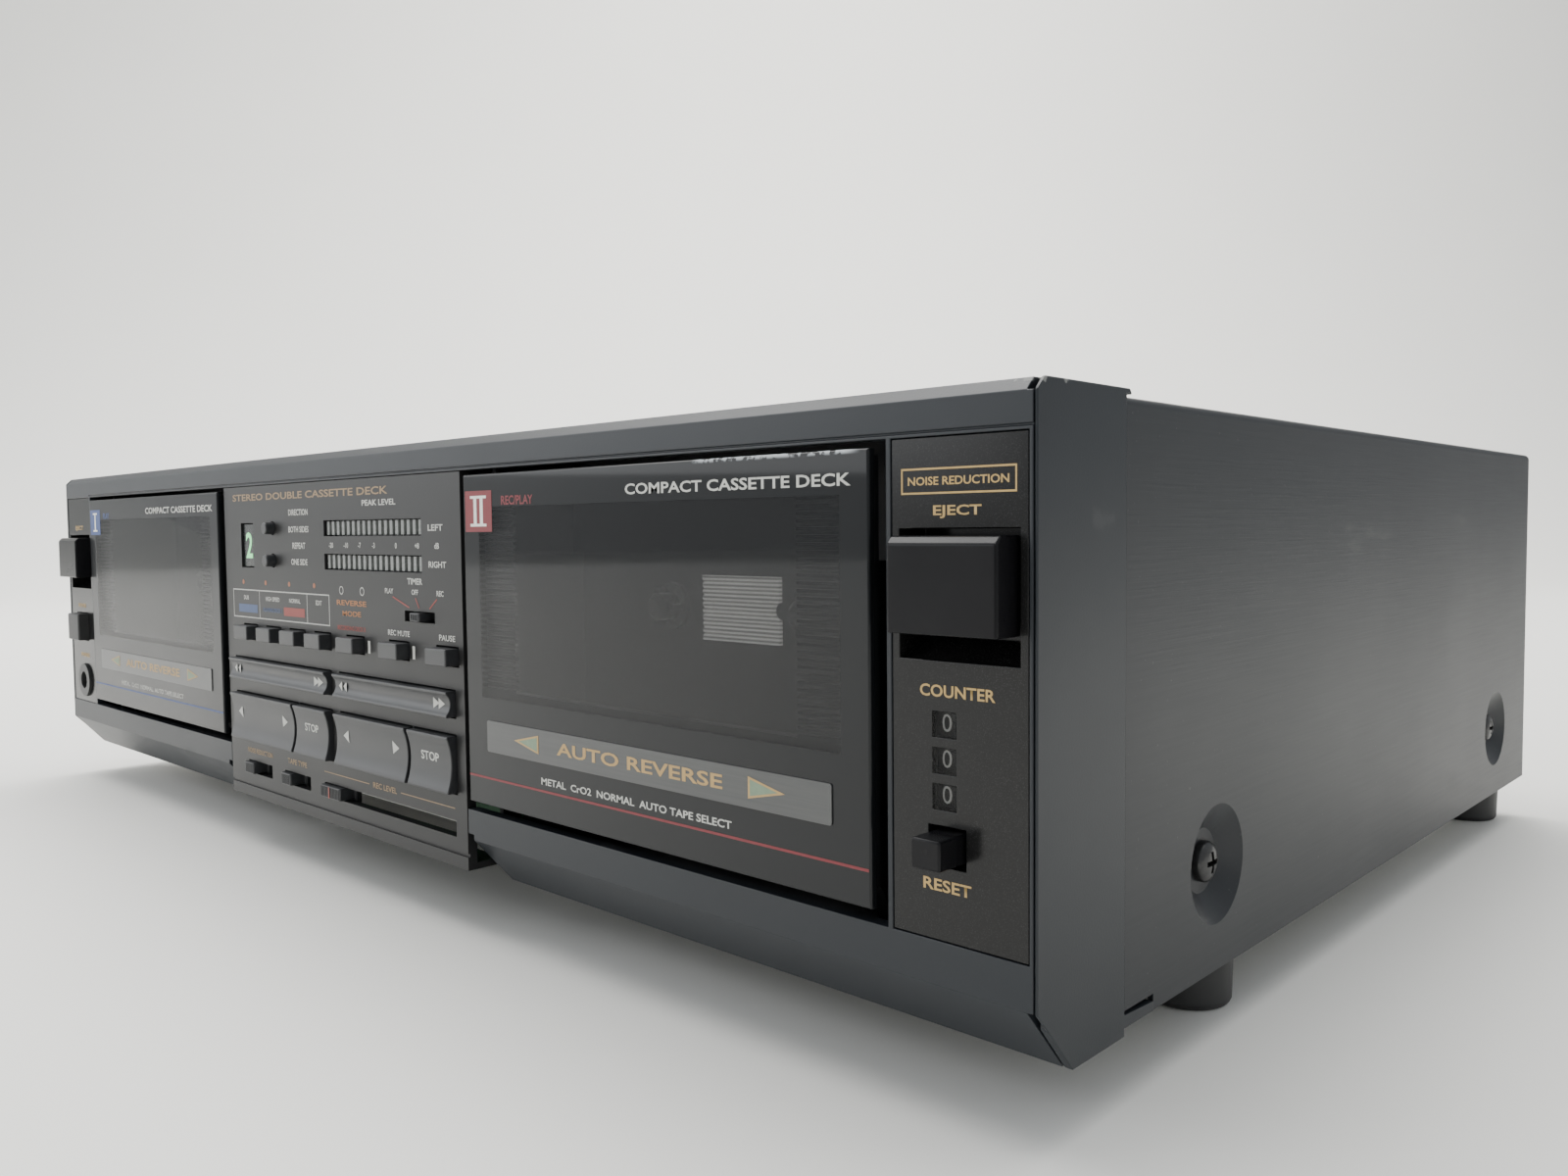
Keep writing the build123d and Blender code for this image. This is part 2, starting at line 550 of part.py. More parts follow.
for deck, x in DECKS:
    with BuildPart() as door_window:
        slab(x - GLASS_HALF, x + GLASS_HALF, -GLASS_PROUD, glass_back, GLASS_LOW, GLASS_TOP)
        chamfer(door_window.edges().group_by(Axis.Y)[0], 0.3)
    save(door_window, f"door_window_{deck}")

    with BuildPart() as door_frame:
        frame_half = GLASS_HALF - 1.0
        slab(x - frame_half, x + frame_half, glass_back, FRAME_BACK, GLASS_LOW + 3, GLASS_TOP - 1)
        slab(
            x - WINDOW_HALF,
            x + WINDOW_HALF,
            glass_back - 1,
            FRAME_BACK + 1,
            WINDOW_LOW,
            WINDOW_TOP,
            Mode.SUBTRACT,
        )
        # Shallow grooves across the bands at both sides of the window
        count = int((WINDOW_TOP - WINDOW_LOW) / RIB_PITCH)
        middle = (WINDOW_LOW + WINDOW_TOP) / 2
        with BuildSketch(front_plane(glass_back)):
            for sign in (-1, 1):
                with Locations((x + sign * (WINDOW_HALF + BAND_WIDTH / 2), middle)):
                    with GridLocations(1, RIB_PITCH, 1, count):
                        Rectangle(BAND_WIDTH, RIB_PITCH / 2)
        extrude(amount=-0.8, mode=Mode.SUBTRACT)
        for sign in (-1, 1):
            near, far = sorted((sign * CHEEK_IN, sign * (CHEEK_IN + CHEEK)))
            slab(x + near, x + far, FRAME_BACK - JOIN, CHEEK_BACK, shelf_low, CHEEK_TOP)
            near, far = sorted((sign * SHELF_GAP, sign * (CHEEK_IN + CHEEK)))
            slab(x + near, x + far, FRAME_BACK - JOIN, CHEEK_BACK, shelf_low, shelf_low + CHEEK)
            arm = x + sign * ARM_OUT
            with BuildSketch(side_plane(arm)):
                with BuildLine():
                    Polyline(
                        (FRAME_BACK - JOIN, shelf_low + 6),
                        (CHEEK_BACK - 2, shelf_low + 6),
                        (CHEEK_BACK - 2, shelf_low),
                        (PIVOT_BACK + 3.5, PIVOT_HEIGHT),
                        (PIVOT_BACK - 3.5, PIVOT_HEIGHT),
                        (PIVOT_BACK - 6.0, PIVOT_HEIGHT + 6),
                        (FRAME_BACK - JOIN, shelf_low),
                        close=True,
                    )
                make_face()
            extrude(amount=sign * ARM_THICK / 2, both=True)
            near, far = sorted((arm - ARM_THICK / 2, arm + ARM_THICK / 2))
            cross_rod(near, far, PIVOT_BACK, PIVOT_HEIGHT, 3.5)
            near, far = sorted((arm, x + sign * PIN_END))
            cross_rod(near, far, PIVOT_BACK, PIVOT_HEIGHT, PIN_RADIUS)
    save(door_frame, f"door_frame_{deck}")

# ---------------------------------------------------------------- tape mechanisms
# Behind each door a box-shaped frame carries the drive. Its face has holes for the two
# reel spindles and the capstan, its sides have the door's hinge holes.
DECK_WALL = 1.6
DECK_FRONT = 7.5
DECK_TOP = HEIGHT - WALL - 1.2
REEL_HOLE = 2.0
CAPSTAN_RADIUS = 1.25
LEG_INSET = 10.6
LEG_BACK = PAN_FRONT + 9.0
deck_back = DECK_FACE + DECK_PLATE
for deck, x in DECKS:
    with BuildPart() as deck_frame:
        slab(x - DECK_HALF, x + DECK_HALF, DECK_FACE, deck_back, DECK_FOOT, DECK_TOP)
        slab(x - DECK_HALF, x + DECK_HALF, DECK_FRONT, LEG_BACK, DECK_FOOT, DECK_FOOT + DECK_WALL)
        for sign in (-1, 1):
            near, far = sorted((sign * DECK_HALF, sign * (DECK_HALF + DECK_WALL)))
            slab(x + near, x + far, DECK_FRONT, deck_back, DECK_FOOT, DECK_TOP)
            pin_hole = PIN_RADIUS + RUNNING
            cross_rod(x + near - 1, x + far + 1, PIVOT_BACK, PIVOT_HEIGHT, pin_hole, Mode.SUBTRACT)
            leg = x + sign * (DECK_HALF - LEG_INSET)
            slab(leg - 4, leg + 4, PAN_FRONT + 0.5, LEG_BACK, BASE + PAN_SHEET, DECK_FOOT + DECK_WALL)
            reel = x + sign * REEL_SPACING / 2
            rod(reel, DECK_FACE - 1, deck_back + 1, REEL_HEIGHT, REEL_HOLE + RUNNING, Mode.SUBTRACT)
        capstan = x + CAPSTAN_OFFSET
        rod(capstan, DECK_FACE - 1, deck_back + 1, CAPSTAN_HEIGHT, CAPSTAN_RADIUS + RUNNING, Mode.SUBTRACT)
    save(deck_frame, f"deck_frame_{deck}")

# The silver reflectors behind the cassette's window, ridged along their length.
REFLECTOR_HALF = 11.5
REFLECTOR_TALL = 14.0
REFLECTOR_THICK = 1.0
with BuildPart() as reflectors:
    for deck, x in DECKS:
        slab(
            x - REFLECTOR_HALF,
            x + REFLECTOR_HALF,
            DECK_FACE - REFLECTOR_THICK,
            DECK_FACE,
            REEL_HEIGHT - REFLECTOR_TALL / 2,
            REEL_HEIGHT + REFLECTOR_TALL / 2,
        )
        with BuildSketch(side_plane(x - REFLECTOR_HALF)):
            with Locations((DECK_FACE - REFLECTOR_THICK, REEL_HEIGHT)):
                with GridLocations(1, 1.4, 1, 9):
                    Rectangle(0.7, 0.7, rotation=45)
        extrude(amount=2 * REFLECTOR_HALF, mode=Mode.SUBTRACT)
        rod(x + REFLECTOR_HALF, DECK_FACE - 2, DECK_FACE + 1, REEL_HEIGHT, 1.8, Mode.SUBTRACT)
save(reflectors, "reflectors")

# Reel spindles: a splined nose that enters the cassette's hub, and a drive disc behind.
NOSE_LENGTH = 7.0
NOSE_TAPER = 1.5
NOSE_RADIUS = 3.0
DISC_RADIUS = 13.0
FIN_COUNT = 3
spindle = 0
for deck, x in DECKS:
    for sign in (-1, 1):
        spindle += 1
        centre = x + sign * REEL_SPACING / 2
        with BuildPart() as reel_spindle:
            rod(centre, DECK_FACE - NOSE_LENGTH + NOSE_TAPER, DECK_FACE - 0.4, REEL_HEIGHT, NOSE_RADIUS)
            rod(centre, DECK_FACE - 1.6, DECK_FACE - 0.4, REEL_HEIGHT, 5.2)
            nose = front_plane(DECK_FACE - NOSE_LENGTH + NOSE_TAPER)
            with BuildSketch(nose):
                with Locations((centre, REEL_HEIGHT)):
                    Circle(NOSE_RADIUS)
            extrude(amount=NOSE_TAPER, taper=40)
            with BuildSketch(nose.offset(-0.5)):
                with Locations((centre, REEL_HEIGHT)):
                    with PolarLocations(2.6, FIN_COUNT):
                        Rectangle(3.6, 1.2)
            extrude(amount=-(NOSE_LENGTH - 2.6))
            rod(centre, DECK_FACE - 1, deck_back + 0.6, REEL_HEIGHT, REEL_HOLE)
            rod(centre, deck_back + 0.4, deck_back + 3.4, REEL_HEIGHT, DISC_RADIUS)
        save(reel_spindle, f"reel_spindle_{spindle}")

# Flywheels: each has a heavy rim, and the capstan is its shaft.
FLYWHEEL_RADIUS = 24.0
flywheel_front = deck_back + 6.0
flywheel_back = flywheel_front + 9.0
for deck, x in DECKS:
    centre = x + CAPSTAN_OFFSET
    with BuildPart() as flywheel:
        rod(centre, flywheel_front, flywheel_back, CAPSTAN_HEIGHT, FLYWHEEL_RADIUS)
        hollow = FLYWHEEL_RADIUS - 6
        rod(centre, flywheel_front - 1, flywheel_front + 5, CAPSTAN_HEIGHT, hollow, Mode.SUBTRACT)
        rod(centre, flywheel_front, flywheel_back, CAPSTAN_HEIGHT, 5.0)
        rod(centre, DECK_FACE - 13, flywheel_front + 1, CAPSTAN_HEIGHT, CAPSTAN_RADIUS)
    save(flywheel, f"flywheel_{deck}")

# Head carriages: a plate that rises to bring the tape head and the pinch roller to the tape.
CARRIAGE_LIFT = 8.0
CARRIAGE_LOW = DECK_FOOT + DECK_WALL + 1.5
CARRIAGE_TOP = CASSETTE_LOW - 4.5
carriage_back = DECK_FACE - 0.4
ROLLER_HEIGHT = CAPSTAN_HEIGHT - CAPSTAN_RADIUS - ROLLER_RADIUS - CARRIAGE_LIFT - 0.3
for deck, x in DECKS:
    with BuildPart() as head_carriage:
        slab(x - 36, x + 36, carriage_back - 1.5, carriage_back, CARRIAGE_LOW, CARRIAGE_TOP - 3)
        slab(x - 7.5, x + 7.5, carriage_back - 12, carriage_back - 1.4, CARRIAGE_LOW + 4, CARRIAGE_TOP)
        fillet(head_carriage.edges().filter_by(Axis.Y).group_by(Axis.Z)[-1], 2.0)
        for sign in (-1, 1):
            roller = x + sign * CAPSTAN_OFFSET
            rod(roller, carriage_back - 9, carriage_back - 1.4, ROLLER_HEIGHT, ROLLER_RADIUS)
    save(head_carriage, f"head_carriage_{deck}")

# Drive motors, each with a pulley that a belt links to the flywheel's rim.
MOTOR_RADIUS = 16.0
MOTOR_LENGTH = 28.0
MOTOR_HEIGHT = 88.0
with BuildPart() as motors:
    for deck, x in DECKS:
        centre = x - 38
        rod(centre, flywheel_back + 2, flywheel_back + 2 + MOTOR_LENGTH, MOTOR_HEIGHT, MOTOR_RADIUS)
        rod(centre, flywheel_front + 1, flywheel_back + 3, MOTOR_HEIGHT, 3.0)
        slab(
            centre - 6,
            centre + 6,
            deck_back,
            flywheel_back + 3,
            MOTOR_HEIGHT + 10,
            MOTOR_HEIGHT + 14,
        )
save(motors, "motors")

# ---------------------------------------------------------------- control panel
# The middle panel, with windows for the display and meters and slots for every key. Its
# foot drops in front of the chin and carries the slide controls.
PANEL_THICK = 2.4
PANEL_LOW = 15.0
PANEL_LINE = 18.5
BUTTON_CENTRES = (-49.5, -34.2, -18.9, -3.6, 14.6, 37.0, 59.3)
BUTTON_FIT = 0.4
ROUND_X = -33.0
ROUND_HEIGHTS = (94.9, 85.7)
ROUND_RADIUS = 1.7
WIND_LOW = 50.4
WIND_TOP = 56.5
PLAY_LOW = 32.5
PLAY_TOP = 46.0
KEY_LEFT = -60.8
KEY_RIGHT = 62.0
# Each entry: name, left x, right x, low z, top z
KEYS = (
    ("wind_key_1", KEY_LEFT, 0.6, WIND_LOW, WIND_TOP),
    ("wind_key_2", 5.4, KEY_RIGHT, WIND_LOW, WIND_TOP),
    ("play_key_1", KEY_LEFT, -19.8, PLAY_LOW, PLAY_TOP),
    ("stop_key_1", -18.6, 0.6, PLAY_LOW, PLAY_TOP),
    ("play_key_2", 5.4, 42.2, PLAY_LOW, PLAY_TOP),
    ("stop_key_2", 43.4, KEY_RIGHT, PLAY_LOW, PLAY_TOP),
)
# Slide controls: name, slot's left and right x, slot's low and top z, knob's width
SLIDES = (
    ("timer_knob", 40.1, 54.1, 71.8, 74.4, 4.4),
    ("switch_knob_1", -54.0, -38.0, 22.2, 26.0, 6.0),
    ("switch_knob_2", -29.5, -13.5, 22.2, 26.0, 6.0),
    ("level_knob", -5.0, 61.4, 22.2, 26.0, 11.0),
)
METER_LEFT = 0.0
METER_PITCH = 2.78
METER_BARS = 18
METER_ROWS = (94.7, 85.8)
METER_TALL = 3.6
BAR_WIDTH = 1.4
DISPLAY_X = -50.3
DISPLAY_HEIGHT = 90.0
DISPLAY_WIDTH = 8.5
DISPLAY_TALL = 13.0
with BuildPart() as control_panel:
    slab(-PANEL_HALF + FIT, PANEL_HALF - FIT, 0, PANEL_THICK, PANEL_LOW, OPENING_TOP - 0.2)
    slab(-PANEL_HALF + FIT, PANEL_HALF - FIT, PANEL_THICK - 0.1, 9, PANEL_LOW, PANEL_LOW + 1.6)
    slab(-PANEL_HALF, PANEL_HALF, -1, 0.5, PANEL_LINE - 0.4, PANEL_LINE + 0.4, Mode.SUBTRACT)
    with BuildSketch(front_plane(0)):
        for x in BUTTON_CENTRES:
            with Locations((x, BUTTON_HEIGHT)):
                Rectangle(BUTTON_WIDTH + 2 * BUTTON_FIT, BUTTON_TALL + 2 * BUTTON_FIT)
        for z in ROUND_HEIGHTS:
            with Locations((ROUND_X, z)):
                Circle(ROUND_RADIUS + FIT)
        for name, x0, x1, z0, z1 in KEYS:
            with Locations(((x0 + x1) / 2, (z0 + z1) / 2)):
                Rectangle(x1 - x0 + 2 * KEY_GAP, z1 - z0 + 2 * KEY_GAP)
        for name, x0, x1, z0, z1, knob in SLIDES:
            with Locations(((x0 + x1) / 2, (z0 + z1) / 2)):
                Rectangle(x1 - x0, z1 - z0)
        for z in METER_ROWS:
            with Locations((METER_LEFT + METER_PITCH * (METER_BARS - 1) / 2, z)):
                Rectangle(METER_PITCH * METER_BARS, METER_TALL + 0.6)
        with Locations((DISPLAY_X, DISPLAY_HEIGHT)):
            Rectangle(DISPLAY_WIDTH, DISPLAY_TALL)
    extrude(amount=-PANEL_THICK, mode=Mode.SUBTRACT)
save(control_panel, "control_panel")

# The display and meter module: a light-guide block whose bars stand in the panel's windows.
MODULE_BACK = 9.0
with BuildPart() as meter_module:
    meter_right = METER_LEFT + METER_PITCH * (METER_BARS - 1)
    block_low = METER_ROWS[1] - 4
    block_top = METER_ROWS[0] + 4
    slab(METER_LEFT - 3, meter_right + 3, PANEL_THICK + 0.2, MODULE_BACK, block_low, block_top)
    with BuildSketch(front_plane(PANEL_THICK + 0.3)):
        for z in METER_ROWS:
            with Locations((METER_LEFT + METER_PITCH * (METER_BARS - 1) / 2, z)):
                with GridLocations(METER_PITCH, 1, METER_BARS, 1):
                    Rectangle(BAR_WIDTH, METER_TALL)
    extrude(amount=PANEL_THICK - 0.3)
    x0 = DISPLAY_X - DISPLAY_WIDTH / 2
    x1 = DISPLAY_X + DISPLAY_WIDTH / 2
    z0 = DISPLAY_HEIGHT - DISPLAY_TALL / 2
    z1 = DISPLAY_HEIGHT + DISPLAY_TALL / 2
    slab(x0 + FIT, x1 - FIT, 0.6, MODULE_BACK, z0 + FIT, z1 - FIT)
    middle = sum(ROUND_HEIGHTS) / 2
    slab(x1 - 1, METER_LEFT - 2, MODULE_BACK - 2, MODULE_BACK, middle - 1.4, middle + 1.4)
save(meter_module, "meter_module")

# ---------------------------------------------------------------- keys of the control panel
# Seven square push buttons and two small round ones, each with a stem to its switch.
for index, x in enumerate(BUTTON_CENTRES):
    with BuildPart() as function_button:
        z0 = BUTTON_HEIGHT - BUTTON_TALL / 2
        z1 = BUTTON_HEIGHT + BUTTON_TALL / 2
        slab(x - BUTTON_WIDTH / 2, x + BUTTON_WIDTH / 2, -BUTTON_PROUD, BUTTON_DEPTH, z0, z1)
        fillet(function_button.edges().group_by(Axis.Y)[0], 0.35)
        slab(x - 1.5, x + 1.5, BUTTON_DEPTH - JOIN, BUTTON_DEPTH - JOIN + BUTTON_STEM, z0 + 0.7, z1 - 0.7)
    save(function_button, f"function_button_{index + 1}")

for index, z in enumerate(ROUND_HEIGHTS):
    with BuildPart() as round_button:
        rod(ROUND_X, -2.6, 12.0, z, ROUND_RADIUS)
        fillet(round_button.edges().group_by(Axis.Y)[0], 0.4)
        rod(ROUND_X, 4.0, 5.5, z, ROUND_RADIUS + 0.9)
    save(round_button, f"round_button_{index + 1}")

# Wide keys with a hollowed face: the hollow is a cylinder that runs along the key.
HOLLOW_DEPTH = 1.1
ROCK_DEPTH = KEY_DEPTH + 1.0
ROCK_RADIUS = 1.5
for name, x0, x1, z0, z1 in KEYS:
    middle = (z0 + z1) / 2
    chord = (z1 - z0) / 2 - 0.6
    radius = (chord**2 + HOLLOW_DEPTH**2) / (2 * HOLLOW_DEPTH)
    with BuildPart() as wide_key:
        slab(x0, x1, -KEY_PROUD, KEY_DEPTH, z0, z1)
        cross_rod(x0 - 1, x1 + 1, -KEY_PROUD - radius + HOLLOW_DEPTH, middle, radius, Mode.SUBTRACT)
        # A rocker turns on an upright rib and presses a switch at each end, a stop key only one
        if not name.startswith("stop"):
            post((x0 + x1) / 2, ROCK_DEPTH, z0 + 1, z1 - 1, ROCK_RADIUS)
        stems = [(x0 + x1) / 2] if name.startswith("stop") else [x0 + 6, x1 - 6]
        for x in stems:
            slab(x - 1.5, x + 1.5, KEY_DEPTH - JOIN, KEY_DEPTH + BUTTON_STEM, middle - 1.5, middle + 1.5)
    save(wide_key, name)

# Slide knobs: a grip in the slot with a wide foot behind the panel. Each starts at the
# left end of its slot, except the timer's, which starts in the middle.
for name, x0, x1, z0, z1, knob in SLIDES:
    start = (x0 + x1) / 2 if name == "timer_knob" else x0 + knob / 2 + 0.5
    with BuildPart() as slide_knob:
        slab(start - knob / 2, start + knob / 2, -1.6, PANEL_THICK + 0.5, z0 + 0.25, z1 - 0.25)
        fillet(slide_knob.edges().filter_by(Axis.Z).group_by(Axis.Y)[0], 0.5)
        foot = knob / 2 + 1
        slab(start - foot, start + foot, PANEL_THICK + 0.3, PANEL_THICK + 1.8, z0 - 0.8, z1 + 0.8)
    save(slide_knob, name)

# ---------------------------------------------------------------- circuit boards
# The front board stands behind the keys on the control panel; the main board lies over
# the base pan behind the mechanisms.
BOARD = 1.6
BOARD_BACK = 20.0
with BuildPart() as front_board:
    slab(-PANEL_HALF + 8.5, PANEL_HALF - 8.5, BOARD_BACK, BOARD_BACK + BOARD, BASE + 8, OPENING_TOP - 4)
    for x in BUTTON_CENTRES:
        slab(x - 3, x + 3, BOARD_BACK - 2.5, BOARD_BACK, BUTTON_HEIGHT - 3, BUTTON_HEIGHT + 3)
save(front_board, "front_board")

MAIN_BOARD_BACK = DEPTH - 22.0
MAIN_BOARD_FRONT = flywheel_back + MOTOR_LENGTH + 14
with BuildPart() as main_board:
    slab(-40, pan_half - 12, MAIN_BOARD_FRONT, MAIN_BOARD_BACK, BASE + 9, BASE + 9 + BOARD)
    for x in (-30, 60, pan_half - 22):
        for d in (MAIN_BOARD_FRONT + 10, MAIN_BOARD_BACK - 10):
            post(x, d, BASE + PAN_SHEET, BASE + 9.1, 3.0)
    for index in range(6):
        post(-15 + 28 * index, MAIN_BOARD_BACK - 30, BASE + 10, BASE + 34, 6.0)
    for index in range(8):
        x = -22 + 24 * index
        slab(x - 8, x + 8, MAIN_BOARD_FRONT + 30, MAIN_BOARD_FRONT + 37, BASE + 10, BASE + 15)
save(main_board, "main_board")

# The mains transformer: a laminated core between two wound cheeks, on a foot.
CORE = (52.0, 44.0, 46.0)
TRANSFORMER_X = -HALF + 90
TRANSFORMER_D = DEPTH - 75
with BuildPart() as transformer:
    low = BASE + PAN_SHEET
    with Locations((TRANSFORMER_X, FRONT + TRANSFORMER_D, low + CORE[2] / 2)):
        Box(*CORE)
    with Locations((TRANSFORMER_X, FRONT + TRANSFORMER_D, low + CORE[2] / 2)):
        Box(CORE[0] - 20, CORE[1] + 22, CORE[2] - 12)
    with Locations((TRANSFORMER_X, FRONT + TRANSFORMER_D, low + 0.75)):
        Box(CORE[0] + 24, CORE[1] - 14, 1.5)
save(transformer, "transformer")

# ---------------------------------------------------------------- screws
# Pan-head screws: four in the cover's dishes and four that hold the feet.
SCREW_HEAD = 3.8
with BuildPart() as screws:
    for side in (-1, 1):
        seat = cover_half - DISH_DEPTH
        for d in SCREW_DEPTHS:
            x0, x1 = mirrored(side, seat - 9, seat)
            cross_rod(x0, x1, d, SCREW_HEIGHT, SCREW_SHANK)
            x0, x1 = mirrored(side, seat, seat + 2.4)
            cross_rod(x0, x1, d, SCREW_HEIGHT, SCREW_HEAD)
    for x, d in FEET:
        post(x, d, 3.0, 5.5, 3.0)
        post(x, d, 5.0, BASE + PAN_SHEET + 3, FOOT_HOLE)
save(screws, "screws")
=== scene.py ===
from math import atan2, cos, hypot, pi, radians, sin, sqrt

import bmesh
import bpy
from mathutils import Matrix, Vector


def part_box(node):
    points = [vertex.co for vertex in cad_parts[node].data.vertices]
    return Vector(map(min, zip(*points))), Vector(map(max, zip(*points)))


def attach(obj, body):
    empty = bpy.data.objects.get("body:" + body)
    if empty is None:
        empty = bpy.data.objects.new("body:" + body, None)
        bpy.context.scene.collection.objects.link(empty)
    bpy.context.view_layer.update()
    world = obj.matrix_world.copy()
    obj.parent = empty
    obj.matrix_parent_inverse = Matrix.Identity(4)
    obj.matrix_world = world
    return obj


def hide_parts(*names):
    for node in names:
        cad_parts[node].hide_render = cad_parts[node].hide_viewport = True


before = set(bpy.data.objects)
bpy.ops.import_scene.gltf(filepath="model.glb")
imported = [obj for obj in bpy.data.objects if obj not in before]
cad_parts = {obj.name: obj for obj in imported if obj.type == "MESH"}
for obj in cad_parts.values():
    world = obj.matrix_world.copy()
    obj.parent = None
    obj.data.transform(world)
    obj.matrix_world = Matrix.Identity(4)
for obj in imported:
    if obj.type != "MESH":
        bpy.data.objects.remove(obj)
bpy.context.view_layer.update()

MM = 0.001
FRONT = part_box("control_panel")[0].y / MM

# ---------------------------------------------------------------- table, light and camera
# The deck stands on a pale table that runs up into a plain pale backdrop, under soft light
# from above and in front. Far in front and far to the right the table carries painted shade,
# a grey that stands in for the light falling off there, so that glossy black plastic has
# something darker to reflect. The camera is low and close.
TABLE_REACH = 2.6
TABLE_LEFT = 4.5
TABLE_RIGHT = 4.5
SWEEP_START = 1.3
SWEEP_RADIUS = 1.1
SWEEP_STEPS = 12
WALL_TALL = 3.2
TABLE_TURNED = radians(43.0)
# Painted shade: the grey that the table's colour turns to far in front and far to the right.
TABLE_PAINTED_SHADE = (0.34, 0.34, 0.34)
PAINTED_SHADE_IN_FRONT = (-1800, -450)
PAINTED_SHADE_AT_RIGHT = (2900, 1700)


class Wire:
    """A node socket that takes part in plain sums, as in 1 - grain * 0.2."""

    def __init__(self, tree, socket=None):
        self.tree = tree
        self.socket = socket

    def node(self, kind, settings, values, out=0):
        """Adds a node: its settings first, then the values or wires of its sockets."""
        made = self.tree.nodes.new(kind)
        for key, value in settings.items():
            setattr(made, key, value)
        for key, value in values.items():
            if isinstance(value, Wire):
                self.tree.links.new(value.socket, made.inputs[key])
            else:
                made.inputs[key].default_value = value
        return Wire(self.tree, made.outputs[out])

    def maths(self, operation, a, b=0.0):
        return self.node("ShaderNodeMath", {"operation": operation}, {0: a, 1: b})

    def __add__(self, other):
        return self.maths("ADD", self, other)

    def __sub__(self, other):
        return self.maths("SUBTRACT", self, other)

    def __rsub__(self, other):
        return self.maths("SUBTRACT", other, self)

    def __mul__(self, other):
        return self.maths("MULTIPLY", self, other)

    __radd__ = __add__
    __rmul__ = __mul__

    def ease(self, low, high):
        """0 below low, 1 above high and smooth between."""
        settings = {"interpolation_type": "SMOOTHSTEP"}
        return self.node("ShaderNodeMapRange", settings, {"Value": self, "From Min": low, "From Max": high})

    def shade(self, dark, light):
        """A colour between two, this wire being how much of the second."""
        values = {0: self, 6: as_colour(dark), 7: as_colour(light)}
        return self.node("ShaderNodeMix", {"data_type": "RGBA"}, values, 2)

    def place(self):
        """The point on the piece, in metres in the deck's own frame."""
        return self.node("ShaderNodeTexCoord", {}, {}, "Object")

    def part(self, axis):
        """How far along X, Y or Z a point lies, in millimetres."""
        return self.node("ShaderNodeSeparateXYZ", {}, {0: self}, axis) * (1 / MM)

    def stretched(self, x, y, z):
        settings = {"operation": "MULTIPLY"}
        return self.node("ShaderNodeVectorMath", settings, {0: self, 1: (x, y, z)})

    def noise(self, scale, detail=3.0):
        return self.node("ShaderNodeTexNoise", {}, {"Vector": self, "Scale": scale, "Detail": detail}, "Fac")

    def bump(self, strength, distance):
        return self.node("ShaderNodeBump", {}, {"Height": self, "Strength": strength, "Distance": distance})


def as_colour(value):
    return value if isinstance(value, Wire) else (*value, 1)


def material(name, paint):
    """A material whose shader takes what paint(wire) gives for its sockets."""
    made = bpy.data.materials.new(name)
    made.use_nodes = True
    shader = made.node_tree.nodes["Principled BSDF"]
    for socket, value in paint(Wire(made.node_tree)).items():
        if isinstance(value, Wire):
            made.node_tree.links.new(value.socket, shader.inputs[socket])
        elif isinstance(value, tuple):
            shader.inputs[socket].default_value = (*value, 1)
        else:
            shader.inputs[socket].default_value = value
    return made


def add_object(name, mesh, finish=None):
    made = bpy.data.objects.new(name, mesh)
    bpy.context.scene.collection.objects.link(made)
    if finish:
        mesh.materials.clear()
        mesh.materials.append(finish)
    return made


def table_paint(w):
    mottle = w.place().noise(5.0)
    speck = w.place().noise(160.0).ease(0.7, 0.78)
    # Painted shade mask: 1 on the near table, falling to 0 where the table is painted grey far away.
    outside_painted_shade = w.place().part("Y").ease(*PAINTED_SHADE_IN_FRONT) * w.place().part("X").ease(*PAINTED_SHADE_AT_RIGHT)
    pale = (mottle * 0.5 + speck * 0.1).shade((0.86, 0.85, 0.81), (0.80, 0.79, 0.75))
    return {
        "Base Color": outside_painted_shade.shade(TABLE_PAINTED_SHADE, pale),
        "Roughness": 0.62,
    }


sweep = [(-TABLE_REACH, 0.0), (SWEEP_START, 0.0)]
for step in range(1, SWEEP_STEPS + 1):
    turn = step / SWEEP_STEPS * pi / 2
    sweep.append((SWEEP_START + SWEEP_RADIUS * sin(turn), SWEEP_RADIUS * (1 - cos(turn))))
sweep.append((SWEEP_START + SWEEP_RADIUS, WALL_TALL))
stage_shape = bmesh.new()
rows = [
    [stage_shape.verts.new((x, y, z)) for x in (-TABLE_LEFT, TABLE_RIGHT)]
    for y, z in sweep
]
for low, high in zip(rows, rows[1:]):
    stage_shape.faces.new((low[0], low[1], high[1], high[0]))
stage_mesh = bpy.data.meshes.new("table")
stage_shape.to_mesh(stage_mesh)
stage_shape.free()
stage_mesh.shade_smooth()
table = add_object("table", stage_mesh, material("table_top", table_paint))
table.matrix_world = Matrix.Rotation(TABLE_TURNED, 4, "Z")

world = bpy.data.worlds.new("room")
world.use_nodes = True
room = Wire(world.node_tree)
towards = room.node("ShaderNodeTexCoord", {}, {}, "Generated")
rise = room.node("ShaderNodeSeparateXYZ", {}, {0: towards}, "Z")
glow = rise.ease(0.0, 0.5).shade((0.56, 0.575, 0.59), (0.70, 0.735, 0.77))
world.node_tree.links.new(glow.socket, world.node_tree.nodes["Background"].inputs["Color"])
bpy.context.scene.world = world


def add_light(name, place, aim, size, power, tint):
    lamp = bpy.data.lights.new(name, "AREA")
    lamp.shape = "RECTANGLE"
    lamp.size, lamp.size_y = size
    lamp.energy = power
    lamp.color = tint
    holder = bpy.data.objects.new(name, lamp)
    holder.location = place
    holder.rotation_euler = (Vector(aim) - Vector(place)).to_track_quat("-Z", "Y").to_euler()
    bpy.context.scene.collection.objects.link(holder)


